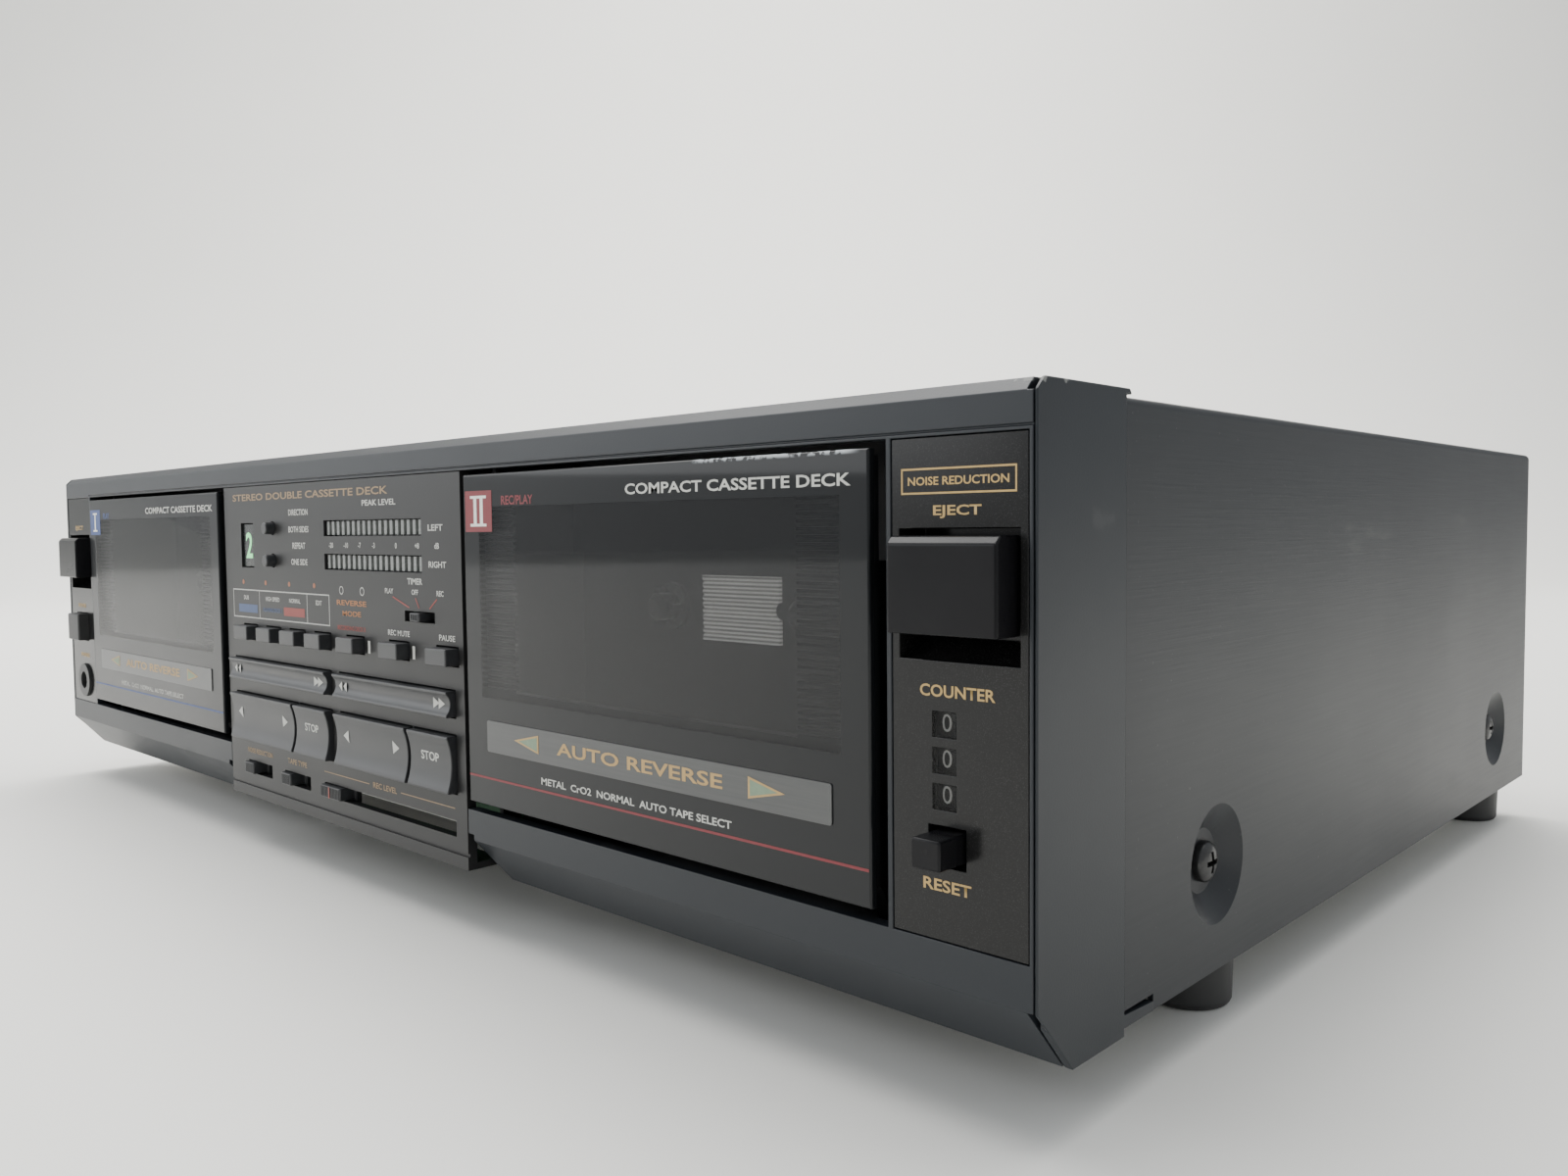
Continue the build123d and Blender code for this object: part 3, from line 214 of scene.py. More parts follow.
add_light("overhead", (-0.2, 0.3, 2.1), (0, 0.1, 0), (2.4, 1.8), 46, (1.0, 0.99, 0.97))
add_light("left_panel", (-2.1, -1.9, 1.0), (0, -0.1, 0.06), (2.2, 1.6), 34, (0.96, 0.98, 1.0))
add_light("backdrop_wash", (-0.55, 0.75, 2.0), (-1.3, 1.5, 0.3), (1.5, 1.0), 54, (1.0, 0.99, 0.97))
add_light("table_wash", (-1.3, -0.4, 1.7), (-0.9, -0.6, 0.0), (1.0, 1.0), 22, (1.0, 0.99, 0.97))

# The camera is given by its place relative to the middle of the front face's foot.
CAMERA_RIGHT = 309.2
CAMERA_AHEAD = 148.65
CAMERA_HIGH = 93.9
CAMERA_YAW = radians(43.57)
CAMERA_PITCH = radians(-2.92)
CAMERA_ROLL = radians(-0.59)
flat = cos(CAMERA_PITCH)
ahead = Vector((-sin(CAMERA_YAW) * flat, cos(CAMERA_YAW) * flat, sin(CAMERA_PITCH)))
level = Vector((cos(CAMERA_YAW), sin(CAMERA_YAW), 0))
upward = level.cross(ahead)
right = level * cos(CAMERA_ROLL) + upward * sin(CAMERA_ROLL)
above = upward * cos(CAMERA_ROLL) - level * sin(CAMERA_ROLL)
lens = bpy.data.cameras.new("camera")
lens.sensor_width = 36.0
lens.lens = 27.67
lens.clip_start = 0.005
camera = bpy.data.objects.new("camera", lens)
turned = Matrix((right, above, -ahead)).transposed().to_4x4()
stand = Vector((CAMERA_RIGHT, FRONT - CAMERA_AHEAD, CAMERA_HIGH)) * MM
camera.matrix_world = Matrix.Translation(stand) @ turned
bpy.context.scene.collection.objects.link(camera)
bpy.context.scene.camera = camera

# ---------------------------------------------------------------- steel cover
# A folded sheet-steel cover with a black, faintly lined coating. Its corners are bent, not
# cut, and each side has two pressed wells for the screws.


def softened(node, body, finish, radius, flatten=True):
    """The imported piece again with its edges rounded, riding on its body in the piece's stead."""
    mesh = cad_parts[node].data.copy()
    shape = bmesh.new()
    shape.from_mesh(mesh)
    bmesh.ops.remove_doubles(shape, verts=shape.verts, dist=2e-6)
    if flatten:
        bmesh.ops.dissolve_limit(shape, angle_limit=radians(0.6), verts=shape.verts, edges=shape.edges)
    shape.to_mesh(mesh)
    shape.free()
    piece = add_object(node + "_finished", mesh, finish)
    rounding = piece.modifiers.new("rounding", "BEVEL")
    rounding.width = radius * MM
    rounding.segments = 2
    rounding.limit_method = "ANGLE"
    rounding.angle_limit = radians(28)
    rounding.harden_normals = True
    mesh.shade_smooth()
    smooth = piece.modifiers.new("smooth", "WEIGHTED_NORMAL")
    smooth.keep_sharp = True
    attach(piece, body)
    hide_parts(node)
    return piece


def cover_paint(w):
    grain = w.place().stretched(1, 0.02, 1).noise(2600.0, 2.0)
    cloud = w.place().noise(22.0)
    dust = w.place().noise(1500.0, 1.0).ease(0.74, 0.8)
    scuff = w.place().stretched(1, 0.25, 1).noise(70.0, 6.0).ease(0.66, 0.7)
    return {
        "Base Color": (dust * 0.10 + scuff * 0.10).shade((0.015, 0.017, 0.020), (0.35, 0.35, 0.33)),
        "Roughness": 0.36 + cloud * 0.08 + grain * 0.06 + scuff * 0.08,
        "Specular IOR Level": 0.36,
        "Normal": (grain + cloud * 0.3).bump(0.22, 0.0001),
    }


softened("top_cover", "chassis", material("cover_black", cover_paint), 0.35, flatten=False)

# ---------------------------------------------------------------- base pan and rear panel
# The pan is zinc-plated sheet, with a faint spangle. The rear panel is a plain plate sprayed
# matt black, with its plain legends printed in white.


def plain(name, dark, light, rough, metallic=0.0, scale=300.0):
    """A finish that varies a little between two shades, with a fine grain."""

    def paint(w):
        cloud = w.place().noise(scale, 4.0)
        return {
            "Base Color": cloud.shade(dark, light),
            "Roughness": rough + cloud * 0.1,
            "Metallic": metallic,
            "Normal": cloud.bump(0.1, 0.0001),
        }

    return material(name, paint)


def word_mesh(words, tall, wide=0.0, bold=0.02):
    """Flat words centred on the origin, with their height and, if given, their width in mm."""
    lettering = bpy.data.curves.new("lettering", "FONT")
    lettering.body = words
    lettering.resolution_u = 3
    lettering.offset = bold
    holder = bpy.data.objects.new("lettering", lettering)
    mesh = bpy.data.meshes.new_from_object(holder)
    bpy.data.objects.remove(holder)
    xs = [v.co.x for v in mesh.vertices]
    ys = [v.co.y for v in mesh.vertices]
    rise = tall / (max(ys) - min(ys))
    run = wide / (max(xs) - min(xs)) if wide else rise
    centre = Matrix.Translation((-(max(xs) + min(xs)) / 2, -(max(ys) + min(ys)) / 2, 0))
    mesh.transform(Matrix.Diagonal((run, rise, 1, 1)) @ centre)
    return mesh


class Print:
    """One colour of flat printing. Its x and z are in mm, its depth is behind the front face."""

    LIFT = 0.05

    def __init__(self, depth, backwards=False):
        self.shape = bmesh.new()
        self.depth = depth
        self.turn = -1 if backwards else 1

    def words(self, words, x, z, tall, wide=0.0):
        mesh = word_mesh(words, tall, wide)
        mesh.transform(Matrix.Translation((x * self.turn, z, 0)))
        self.shape.from_mesh(mesh)
        bpy.data.meshes.remove(mesh)

    def outline(self, points):
        corners = [self.shape.verts.new((x * self.turn, z, 0)) for x, z in points]
        face = self.shape.faces.new(corners)
        face.normal_update()
        if face.normal.z < 0:
            face.normal_flip()

    def bar(self, x0, x1, z0, z1):
        self.outline([(x0, z0), (x1, z0), (x1, z1), (x0, z1)])

    def line(self, start, end, width):
        along = Vector((end[0] - start[0], end[1] - start[1])).normalized() * width / 2
        aside = (-along.y, along.x)
        ends = (start, end)
        sides = [[(p[0] + s * aside[0], p[1] + s * aside[1]) for s in (1, -1)] for p in ends]
        self.outline([sides[0][0], sides[0][1], sides[1][1], sides[1][0]])

    def arrow(self, x, z, tall, long):
        """A triangle whose point is long to the right, or to the left if long is negative."""
        self.outline([(x - long / 2, z - tall / 2), (x + long / 2, z), (x - long / 2, z + tall / 2)])

    def dot(self, x, z, radius, sides=20):
        turns = [2 * pi * i / sides for i in range(sides)]
        self.outline([(x + radius * cos(t), z + radius * sin(t)) for t in turns])

    def frame(self, x0, x1, z0, z1, width):
        self.bar(x0, x1, z0, z0 + width)
        self.bar(x0, x1, z1 - width, z1)
        self.bar(x0, x0 + width, z0 + width, z1 - width)
        self.bar(x1 - width, x1, z0 + width, z1 - width)

    def lay(self, name, body, ink):
        """Puts what was drawn on the surface and lets it ride on the body."""
        for corner in self.shape.verts:
            x, z = corner.co.x, corner.co.y
            depth = self.depth(z) if callable(self.depth) else self.depth
            y = FRONT + depth - self.LIFT * self.turn
            corner.co = Vector((x * self.turn, y, z)) * MM
        self.shape.normal_update()
        mesh = bpy.data.meshes.new(name)
        self.shape.to_mesh(mesh)
        self.shape.free()
        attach(add_object(name, mesh, ink), body)


def ink(name, colour, glow=0.0):
    """Screen printing: a thin dull layer that is a little patchy."""

    def paint(w):
        patchy = w.place().noise(900.0, 4.0)
        worn = tuple(c * 0.72 for c in colour)
        return {
            "Base Color": patchy.shade(worn, colour),
            "Roughness": 0.5 + patchy * 0.1,
            "Emission Color": colour,
            "Emission Strength": glow,
        }

    return material(name, paint)


plated = plain("plated_steel", (0.42, 0.42, 0.40), (0.58, 0.58, 0.55), 0.3, 1.0)
rear_black = plain("rear_paint", (0.022, 0.022, 0.022), (0.032, 0.032, 0.032), 0.45)
white_ink = ink("white_ink", (0.60, 0.60, 0.56))
softened("base_pan", "chassis", plated, 0.15)
softened("rear_panel", "chassis", rear_black, 0.15)
rear_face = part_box("rear_panel")[1].y / MM - FRONT
jacks_low, jacks_high = (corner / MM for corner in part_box("rear_jacks"))
inlet_low, inlet_high = (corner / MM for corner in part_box("mains_inlet"))
jacks_x = (jacks_low.x + jacks_high.x) / 2
jacks_z = (jacks_low.z + jacks_high.z) / 2
inlet_x = (inlet_low.x + inlet_high.x) / 2
rear_print = Print(rear_face, backwards=True)
rear_print.words("LINE IN", jacks_x + 7, jacks_high.z + 4, 2.2)
rear_print.words("LINE OUT", jacks_x - 9, jacks_high.z + 4, 2.2)
rear_print.words("LEFT", jacks_low.x - 5, jacks_z + 7, 2.0)
rear_print.words("RIGHT", jacks_low.x - 5, jacks_z - 7, 2.0)
rear_print.frame(jacks_low.x - 10, jacks_high.x + 3, jacks_low.z - 3, jacks_high.z + 8, 0.4)
rear_print.words("AC IN", inlet_x, inlet_high.z + 4, 2.4)
rear_print.lay("rear_legends", "chassis", white_ink)

# ---------------------------------------------------------------- feet
# Four hollow moulded feet in dull black plastic, each with one screw up its middle.
foot_black = plain("foot_black", (0.016, 0.016, 0.016), (0.030, 0.030, 0.030), 0.45)
softened("feet", "chassis", foot_black, 0.25)

# ---------------------------------------------------------------- screws
# Black-finished pan-head screws with a cross recess: two in the wells at each side of the
# cover and one under each foot. The heads are all one stamping, set into place.
HEAD_RADIUS = 3.8
HEAD_TALL = 2.4
SHANK_LENGTH = 9.0
RECESS_LONG = 4.0
RECESS_WIDE = 0.95
RECESS_DEEP = 1.5
WELL_DEPTHS = (61.5, 253.5)
WELL_HEIGHT = 32.0
FOOT_INSET = 9.0
FOOT_SEAT_HIGH = 5.5


def turned_mesh(name, profile, sides=28):
    """A closed shape turned about Z from (radius, height) points, bottom to top."""
    shape = bmesh.new()
    rings = []
    for radius, height in profile:
        if radius == 0:
            rings.append([shape.verts.new((0, 0, height * MM))] * sides)
        else:
            turns = [2 * pi * i / sides for i in range(sides)]
            spots = [(radius * cos(t) * MM, radius * sin(t) * MM, height * MM) for t in turns]
            rings.append([shape.verts.new(spot) for spot in spots])
    for low, high in zip(rings, rings[1:]):
        for i in range(sides):
            j = (i + 1) % sides
            corners = list(dict.fromkeys((low[i], low[j], high[j], high[i])))
            shape.faces.new(corners)
    bmesh.ops.recalc_face_normals(shape, faces=shape.faces)
    mesh = bpy.data.meshes.new(name)
    shape.to_mesh(mesh)
    shape.free()
    return mesh


def box_mesh(name, boxes):
    """Plain boxes in one mesh, each by its low and high corners in mm."""
    shape = bmesh.new()
    for low, high in boxes:
        size = Vector(high) - Vector(low)
        middle = (Vector(high) + Vector(low)) / 2
        spread = Matrix.Translation(middle * MM) @ Matrix.Diagonal((*(size * MM), 1))
        bmesh.ops.create_cube(shape, size=1.0, matrix=spread)
    mesh = bpy.data.meshes.new(name)
    shape.to_mesh(mesh)
    shape.free()
    return mesh


def final_mesh(piece):
    """The piece's mesh with its modifiers applied."""
    depsgraph = bpy.context.evaluated_depsgraph_get()
    return bpy.data.meshes.new_from_object(piece.evaluated_get(depsgraph))


def cross_head():
    """The screw, its head's top above the origin and its shank below."""
    dome = [(HEAD_RADIUS * cos(t), HEAD_TALL * (0.45 + 0.55 * sin(t))) for t in (0, 0.35, 0.7, 1.05, 1.35)]
    profile = [(0, -SHANK_LENGTH), (1.4, -SHANK_LENGTH), (1.9, 1 - SHANK_LENGTH), (1.9, 0), (HEAD_RADIUS, 0)]
    head = add_object("screw_blank", turned_mesh("screw_blank", profile + dome + [(0, HEAD_TALL)]))
    arm = (RECESS_LONG / 2, RECESS_WIDE / 2)
    cutters = []
    for x, y in (arm, arm[::-1]):
        low = (-x, -y, HEAD_TALL - RECESS_DEEP)
        cutter = add_object("recess", box_mesh("recess", [(low, (x, y, HEAD_TALL + 1))]))
        cut = head.modifiers.new("recess", "BOOLEAN")
        cut.object = cutter
        cutters.append(cutter)
    mesh = final_mesh(head)
    for spare in [head, *cutters]:
        bpy.data.objects.remove(spare)
    return mesh


def fitting_tree():
    """Geometry nodes: one shape set at every point, turned to the point's facing."""
    tree = bpy.data.node_groups.new("fittings", "GeometryNodeTree")
    for label, kind in (("Points", "Geometry"), ("Shape", "Object"), ("Finish", "Material")):
        tree.interface.new_socket(label, in_out="INPUT", socket_type="NodeSocket" + kind)
    tree.interface.new_socket("Set pieces", in_out="OUTPUT", socket_type="NodeSocketGeometry")
    given = tree.nodes.new("NodeGroupInput")
    wires = {socket.name: Wire(tree, socket) for socket in given.outputs if socket.name}
    w = Wire(tree)
    facing = w.node("GeometryNodeInputNamedAttribute", {"data_type": "FLOAT_VECTOR"}, {"Name": "facing"})
    turn = w.node("FunctionNodeAlignRotationToVector", {"axis": "Z"}, {"Vector": facing})
    shape = w.node("GeometryNodeObjectInfo", {}, {"Object": wires["Shape"]}, "Geometry")
    values = {"Points": wires["Points"], "Instance": shape, "Rotation": turn}
    placed = w.node("GeometryNodeInstanceOnPoints", {}, values)
    real = w.node("GeometryNodeRealizeInstances", {}, {"Geometry": placed})
    done = w.node("GeometryNodeSetMaterial", {}, {"Geometry": real, "Material": wires["Finish"]})
    tree.links.new(done.socket, tree.nodes.new("NodeGroupOutput").inputs[0])
    return tree


def set_pieces(name, body, shape_mesh, points, finish, tree):
    """Sets a shape at (place, facing) points and joins them into one mesh on the body."""
    mesh = bpy.data.meshes.new(name)
    mesh.from_pydata([Vector(place) * MM for place, _ in points], [], [])
    facings = mesh.attributes.new("facing", "FLOAT_VECTOR", "POINT")
    for slot, (_, facing) in zip(facings.data, points):
        slot.vector = facing
    piece = add_object(name, mesh)
    source = add_object(name + "_shape", shape_mesh)
    grow = piece.modifiers.new("grow", "NODES")
    grow.node_group = tree
    sockets = {item.name: item.identifier for item in tree.interface.items_tree if item.in_out == "INPUT"}
    grow[sockets["Shape"]] = source
    grow[sockets["Finish"]] = finish
    piece.data = final_mesh(piece)
    piece.data.shade_smooth()
    piece.data.set_sharp_from_angle(angle=radians(35))
    piece.modifiers.clear()
    bpy.data.objects.remove(source)
    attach(piece, body)
    return piece


fittings = fitting_tree()
screw_black = plain("screw_black", (0.03, 0.03, 0.03), (0.07, 0.07, 0.07), 0.25, 0.7, 900.0)
screw_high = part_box("screws")[1] / MM
feet_low, feet_high = (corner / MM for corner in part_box("feet"))
screw_points = []
for side in (-1, 1):
    seat = side * (screw_high.x - HEAD_TALL)
    for depth in WELL_DEPTHS:
        screw_points.append(((seat, FRONT + depth, WELL_HEIGHT), (side, 0, 0)))
    for y in (feet_low.y + FOOT_INSET, feet_high.y - FOOT_INSET):
        screw_points.append(((side * (feet_high.x - FOOT_INSET), y, FOOT_SEAT_HIGH), (0, 0, -1)))
screw_set = set_pieces("screw_set", "chassis", cross_head(), screw_points, screw_black, fittings)
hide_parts("screws")

# ---------------------------------------------------------------- sockets at the back
# Four gold-plated line sockets in one black block, with white plastic cores, and a black inlet
# for a two-pole mains lead.
JACK_OFFSET = 7
CORE_BORE = 1.7
CORE_RADIUS = 3.4
CORE_SIDES = 24


def jack_paint(w):
    cloud = w.place().noise(700.0, 3.0)
    block = w.place().part("Y").ease(FRONT + rear_face + 0.2, FRONT + rear_face)
    return {
        "Base Color": block.shade((0.72, 0.55, 0.25), (0.02, 0.02, 0.02)),
        "Roughness": 0.2 + cloud * 0.12,
        "Metallic": 1 - block,
    }


inlet_black = plain("inlet_black", (0.016, 0.016, 0.016), (0.026, 0.026, 0.026), 0.4)
softened("rear_jacks", "chassis", material("gold_plate", jack_paint), 0.2)
softened("mains_inlet", "chassis", inlet_black, 0.25)
jack_faces = Print(jacks_high.y - FRONT, backwards=True)
for i in (-JACK_OFFSET, JACK_OFFSET):
    for j in (-JACK_OFFSET, JACK_OFFSET):
        ring = [2 * pi * k / CORE_SIDES for k in range(CORE_SIDES)]
        for a, b in zip(ring, ring[1:] + ring[:1]):
            jack_faces.outline([
                (jacks_x + i + r * cos(t), jacks_z + j + r * sin(t))
                for r, t in ((CORE_BORE, a), (CORE_RADIUS, a), (CORE_RADIUS, b), (CORE_BORE, b))
            ])
jack_faces.lay("socket_cores", "chassis", ink("core_white", (0.6, 0.6, 0.58)))

# ---------------------------------------------------------------- fascia and end caps
# One moulding in satin black plastic makes the rail, the posts and the chin. Thin caps of the
# same plastic close its ends, and the upper right corner is rubbed and chipped.
fascia_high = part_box("end_caps")[1] / MM


def moulding_paint(w):
    grain = w.place().noise(2400.0, 2.0)
    cloud = w.place().noise(30.0)
    aside = (w.place().part("X") - fascia_high.x) * 0.055
    below = (w.place().part("Z") - fascia_high.z) * 0.5
    back = (w.place().part("Y") - FRONT) * 0.05
    reach = aside * aside + below * below + back * back
    chips = w.place().noise(420.0, 5.0)
    worn = (chips - reach * 0.5).ease(0.50, 0.56)
    rubs = w.place().stretched(0.3, 1, 1).noise(60.0, 6.0).ease(0.67, 0.72)
    return {
        "Base Color": (worn * 0.42 + rubs * 0.05).shade((0.014, 0.017, 0.021), (0.42, 0.42, 0.40)),
        "Roughness": 0.38 + cloud * 0.07 + worn * 0.2 + rubs * 0.08,
        "Specular IOR Level": 0.36,
        "Normal": grain.bump(0.16, 0.00008),
    }


moulding = material("moulding_black", moulding_paint)
softened("front_fascia", "chassis", moulding, 0.3)
softened("end_caps", "chassis", moulding, 0.25, flatten=False)

# ---------------------------------------------------------------- side strips
# Polished smoked panels at both ends of the face. They carry the eject keys in deep pockets,
# the counter's windows and the reset button on the right, the power button and the headphone
# socket on the left. Their legends are printed in gold.
STRIP_FACE = 0.15


def strip_paint(w):
    fleck = w.place().noise(5200.0, 1.0).ease(0.55, 0.75)
    haze = w.place().noise(45.0)
    return {
        "Base Color": fleck.shade((0.009, 0.009, 0.009), (0.026, 0.026, 0.026)),
        "Roughness": 0.15 + haze * 0.08,
        "Specular IOR Level": 0.26,
        "Normal": haze.bump(0.05, 0.0002),
    }


strip_gloss = material("strip_gloss", strip_paint)
gold_ink = ink("gold_ink", (0.56, 0.37, 0.13))
softened("strip_left", "chassis", strip_gloss, 0.15)
softened("strip_right", "chassis", strip_gloss, 0.15)
softened("phones_socket", "chassis", inlet_black, 0.3)
softened("power_button", "power", foot_black, 0.35)
strip_low, strip_high = (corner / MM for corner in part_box("strip_right"))
strip_mid = (strip_low.x + strip_high.x) / 2
counter_mid = sum(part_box("counter_wheel_2"), Vector()) / 2 / MM
reset_mid = sum(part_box("reset_button"), Vector()) / 2 / MM
power_mid = sum(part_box("power_button"), Vector()) / 2 / MM
phones_mid = sum(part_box("phones_socket"), Vector()) / 2 / MM
strip_print = Print(STRIP_FACE)
for side in (-1, 1):
    strip_print.words("EJECT", side * strip_mid, 95.9, 2.0, 8.8)
strip_print.words("COUNTER", counter_mid.x + 3.3, 68.6, 1.9, 13.8)
strip_print.words("RESET", reset_mid.x, reset_mid.z - 6.1, 1.9, 9.0)
strip_print.words("POWER", power_mid.x, power_mid.z + 8.0, 1.6, 8.6)
strip_print.words("PHONES", phones_mid.x, phones_mid.z + 9.6, 1.6, 9.6)
strip_print.frame(strip_mid - 10.5, strip_mid + 10.5, 98.6, 102.6, 0.3)
strip_print.words("NOISE REDUCTION", strip_mid, 100.6, 1.3, 18.4)
strip_print.lay("strip_legends", "chassis", gold_ink)

# ---------------------------------------------------------------- eject and reset keys
# Satin black mouldings with rounded edges that fingers have polished. Their plastic is painted
# darker than the panel's keys, with weaker reflections, as painted shade for the dark they
# reflect. An eject key slides down in its pocket; the square reset button stands well out of
# its hole.


def key_paint(w):
    grain = w.place().noise(3000.0, 2.0)
    rubbed = w.place().noise(90.0, 3.0)
    return {
        "Base Color": rubbed.shade((0.019, 0.020, 0.022), (0.029, 0.030, 0.032)),
        "Roughness": 0.34 + rubbed * 0.10,
        "Specular IOR Level": 0.5,
        "Normal": grain.bump(0.12, 0.00006),
    }


def polished_paint(w):
    rubbed = w.place().noise(90.0, 3.0)
    return {
        # Painted shade: a darker copy of the key plastic, with a low specular level.
        "Base Color": rubbed.shade((0.006, 0.006, 0.007), (0.010, 0.010, 0.011)),
        "Roughness": 0.22 + rubbed * 0.08,
        "Specular IOR Level": 0.15,
    }


key_plastic = material("key_plastic", key_paint)
key_polished_shaded = material("key_polished_shaded", polished_paint)
for deck in (1, 2):
    softened(f"eject_key_{deck}", f"eject_{deck}", key_polished_shaded, 0.35)
softened("reset_button", "reset", key_polished_shaded, 0.35)

# ---------------------------------------------------------------- tape counter
# Three dark grey drums on a steel shaft, each with ten white figures printed round it. The
# figures carry a small painted glow, so that they stay bright behind the panes. They are seen
# through small smoked panes in the strip. The lowest drum is the units.
DRUM_RADIUS = 6.5
FIGURE_PROUD = 0.04
FIGURE_TALL = 2.8
FIGURE_WIDE = 1.8
PANE_AHEAD = 0.02
PANE_THICK = 0.5
PANE_HALF_WIDE = 2.18
PANE_HALF_TALL = 1.98
PANE_SHIFT = 0.9
PANE_CORNER = 0.3
drum_black = plain("drum_black", (0.034, 0.034, 0.034), (0.044, 0.044, 0.044), 0.5)
# Painted glow: the white figures shine a little though they are only print.
figure_white_painted_glow = ink("figure_white_painted_glow", (0.85, 0.85, 0.80), 0.1)
softened("counter_frame", "chassis", plated, 0.1)
for drum in (1, 2, 3):
    softened(f"counter_wheel_{drum}", f"counter_{drum}", drum_black, 0.2)
    middle = sum(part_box(f"counter_wheel_{drum}"), Vector()) / 2 / MM
    figures = bmesh.new()
    for digit in range(10):
        mesh = word_mesh(str(digit), FIGURE_TALL, FIGURE_WIDE, bold=0.0)
        for corner in mesh.vertices:
            turn = corner.co.x / DRUM_RADIUS - digit * pi / 5
            reach = DRUM_RADIUS + FIGURE_PROUD
            x = middle.x + reach * sin(turn)
            y = middle.y - reach * cos(turn)
            corner.co = Vector((x, y, middle.z + corner.co.y)) * MM
        figures.from_mesh(mesh)
    drum_print = bpy.data.meshes.new(f"drum_figures_{drum}")
    figures.to_mesh(drum_print)
    figures.free()
    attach(add_object(f"drum_figures_{drum}", drum_print, figure_white_painted_glow), f"counter_{drum}")


def sheet_mesh(name, sheets, corner):
    """Thin upright sheets with rounded corners, each (x0, x1, z0, z1, front, back) in mm."""
    shape = bmesh.new()
    for x0, x1, z0, z1, front, back in sheets:
        quarters = ((x1 - corner, z1 - corner), (x0 + corner, z1 - corner))
        quarters += ((x0 + corner, z0 + corner), (x1 - corner, z0 + corner))
        rim = []
        for quarter, (x, z) in enumerate(quarters):
            for step in range(5):
                t = (quarter + step / 4) * pi / 2
                rim.append((x + corner * cos(t), z + corner * sin(t)))
        ends = [[shape.verts.new(Vector((x, y, z)) * MM) for x, z in rim] for y in (front, back)]
        for i in range(len(rim)):
            j = (i + 1) % len(rim)
            shape.faces.new((ends[0][i], ends[0][j], ends[1][j], ends[1][i]))
        for end in ends:
            shape.faces.new(end)
    bmesh.ops.recalc_face_normals(shape, faces=shape.faces)
    mesh = bpy.data.meshes.new(name)
    shape.to_mesh(mesh)
    shape.free()
    return mesh


def pane_paint(w):
    return {**strip_paint(w), "Alpha": 0.3}


pane_front = FRONT + STRIP_FACE + PANE_AHEAD
pane_x = counter_mid.x + PANE_SHIFT
panes = []
for drum in (1, 2, 3):
    z = sum(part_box(f"counter_wheel_{drum}"), Vector()).z / 2 / MM
    sides = (pane_x - PANE_HALF_WIDE, pane_x + PANE_HALF_WIDE, z - PANE_HALF_TALL, z + PANE_HALF_TALL)
    panes.append((*sides, pane_front, pane_front + PANE_THICK))
pane_clear = material("pane_clear", pane_paint)
pane_mesh = sheet_mesh("counter_panes", panes, PANE_CORNER)
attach(add_object("counter_panes", pane_mesh, pane_clear), "chassis")

# ---------------------------------------------------------------- control panel
# A flat satin black moulding with windows and slots for the controls. The legends are screen
# printed: gold headings, grey and white words, and a few lines in red, orange and blue.


def panel_paint(w):
    grain = w.place().noise(2600.0, 2.0)
    haze = w.place().noise(38.0)
    return {
        "Base Color": haze.shade((0.014, 0.014, 0.014), (0.020, 0.020, 0.020)),
        "Roughness": 0.33 + haze * 0.1,
        "Specular IOR Level": 0.3,
        "Normal": grain.bump(0.14, 0.00006),
    }


softened("control_panel", "chassis", material("panel_plastic", panel_paint), 0.2)
button_x = [sum(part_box(f"function_button_{n}"), Vector()).x / 2 / MM for n in range(1, 8)]
button_z = sum(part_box("function_button_1"), Vector()).z / 2 / MM

headings = Print(0)
headings.words("STEREO DOUBLE CASSETTE DECK", -13.2, 104.0, 2.0, 93.0)
for words, x, wide in (("NOISE REDUCTION", -46, 17), ("TAPE TYPE", -21.5, 12), ("REC LEVEL", 28.0, 12)):
    headings.words(words, x, 29.0, 1.5, wide)
headings.line((-5, 28.9), (20, 28.9), 0.25)
headings.line((36, 28.9), (61, 28.9), 0.25)
headings.lay("panel_headings", "chassis", ink("heading_gold", (0.34, 0.23, 0.12)))

scale_print = Print(0)
levels = (("-20", 2.7), ("-10", 10.9), ("-7", 18.2), ("-3", 25.5), ("0", 36.7), ("+8", 46.7), ("dB", 55.7))
for words, x in levels:
    scale_print.words(words, x, 90.2, 1.4)
scale_print.words("PEAK LEVEL", 28.5, 101.0, 1.5, 17)
scale_print.words("LEFT", 55.2, 94.5, 1.5, 6.6)
scale_print.words("RIGHT", 55.8, 85.8, 1.5, 7.8)
for words, z in (("DIRECTION", 99.2), ("BOTH SIDES", 94.5), ("ONE SIDE", 85.5), ("REPEAT", 90.0)):
    scale_print.words(words, -16.4, z, 1.7)
scale_print.words("TIMER", 45.3, 81.6, 1.5, 7)
for words, x in (("PLAY", 32.8), ("OFF", 45.2), ("REC", 56.7)):
    scale_print.words(words, x, 79.0, 1.3)
scale_print.words("REC MUTE", button_x[5], 68.7, 1.4, 10.5)
scale_print.words("PAUSE", button_x[6], 68.7, 1.4, 7.0)
for x in (7.7, 18.9):
    for i in range(16):
        a, b = (2 * pi * (i + k) / 16 for k in (0, 1))
        scale_print.line((x + cos(a), 78.4 + sin(a)), (x + cos(b), 78.4 + sin(b)), 0.28)
scale_print.frame(-61.3, 0.8, 68.6, 77.0, 0.3)
for x in (-43.0, -12.4):
    scale_print.line((x, 68.9), (x, 76.7), 0.25)
for words, x in (("DUB", -52.1), ("HIGH SPEED", -34.2), ("NORMAL", -20.0), ("EDIT", -5.4)):
    scale_print.words(words, x, 74.6, 1.25)
for x in (21.9, 44.0):
    scale_print.bar(x - 0.6, x + 0.6, button_z - 1.8, button_z + 1.4)
scale_print.lay("panel_legends", "chassis", white_ink)

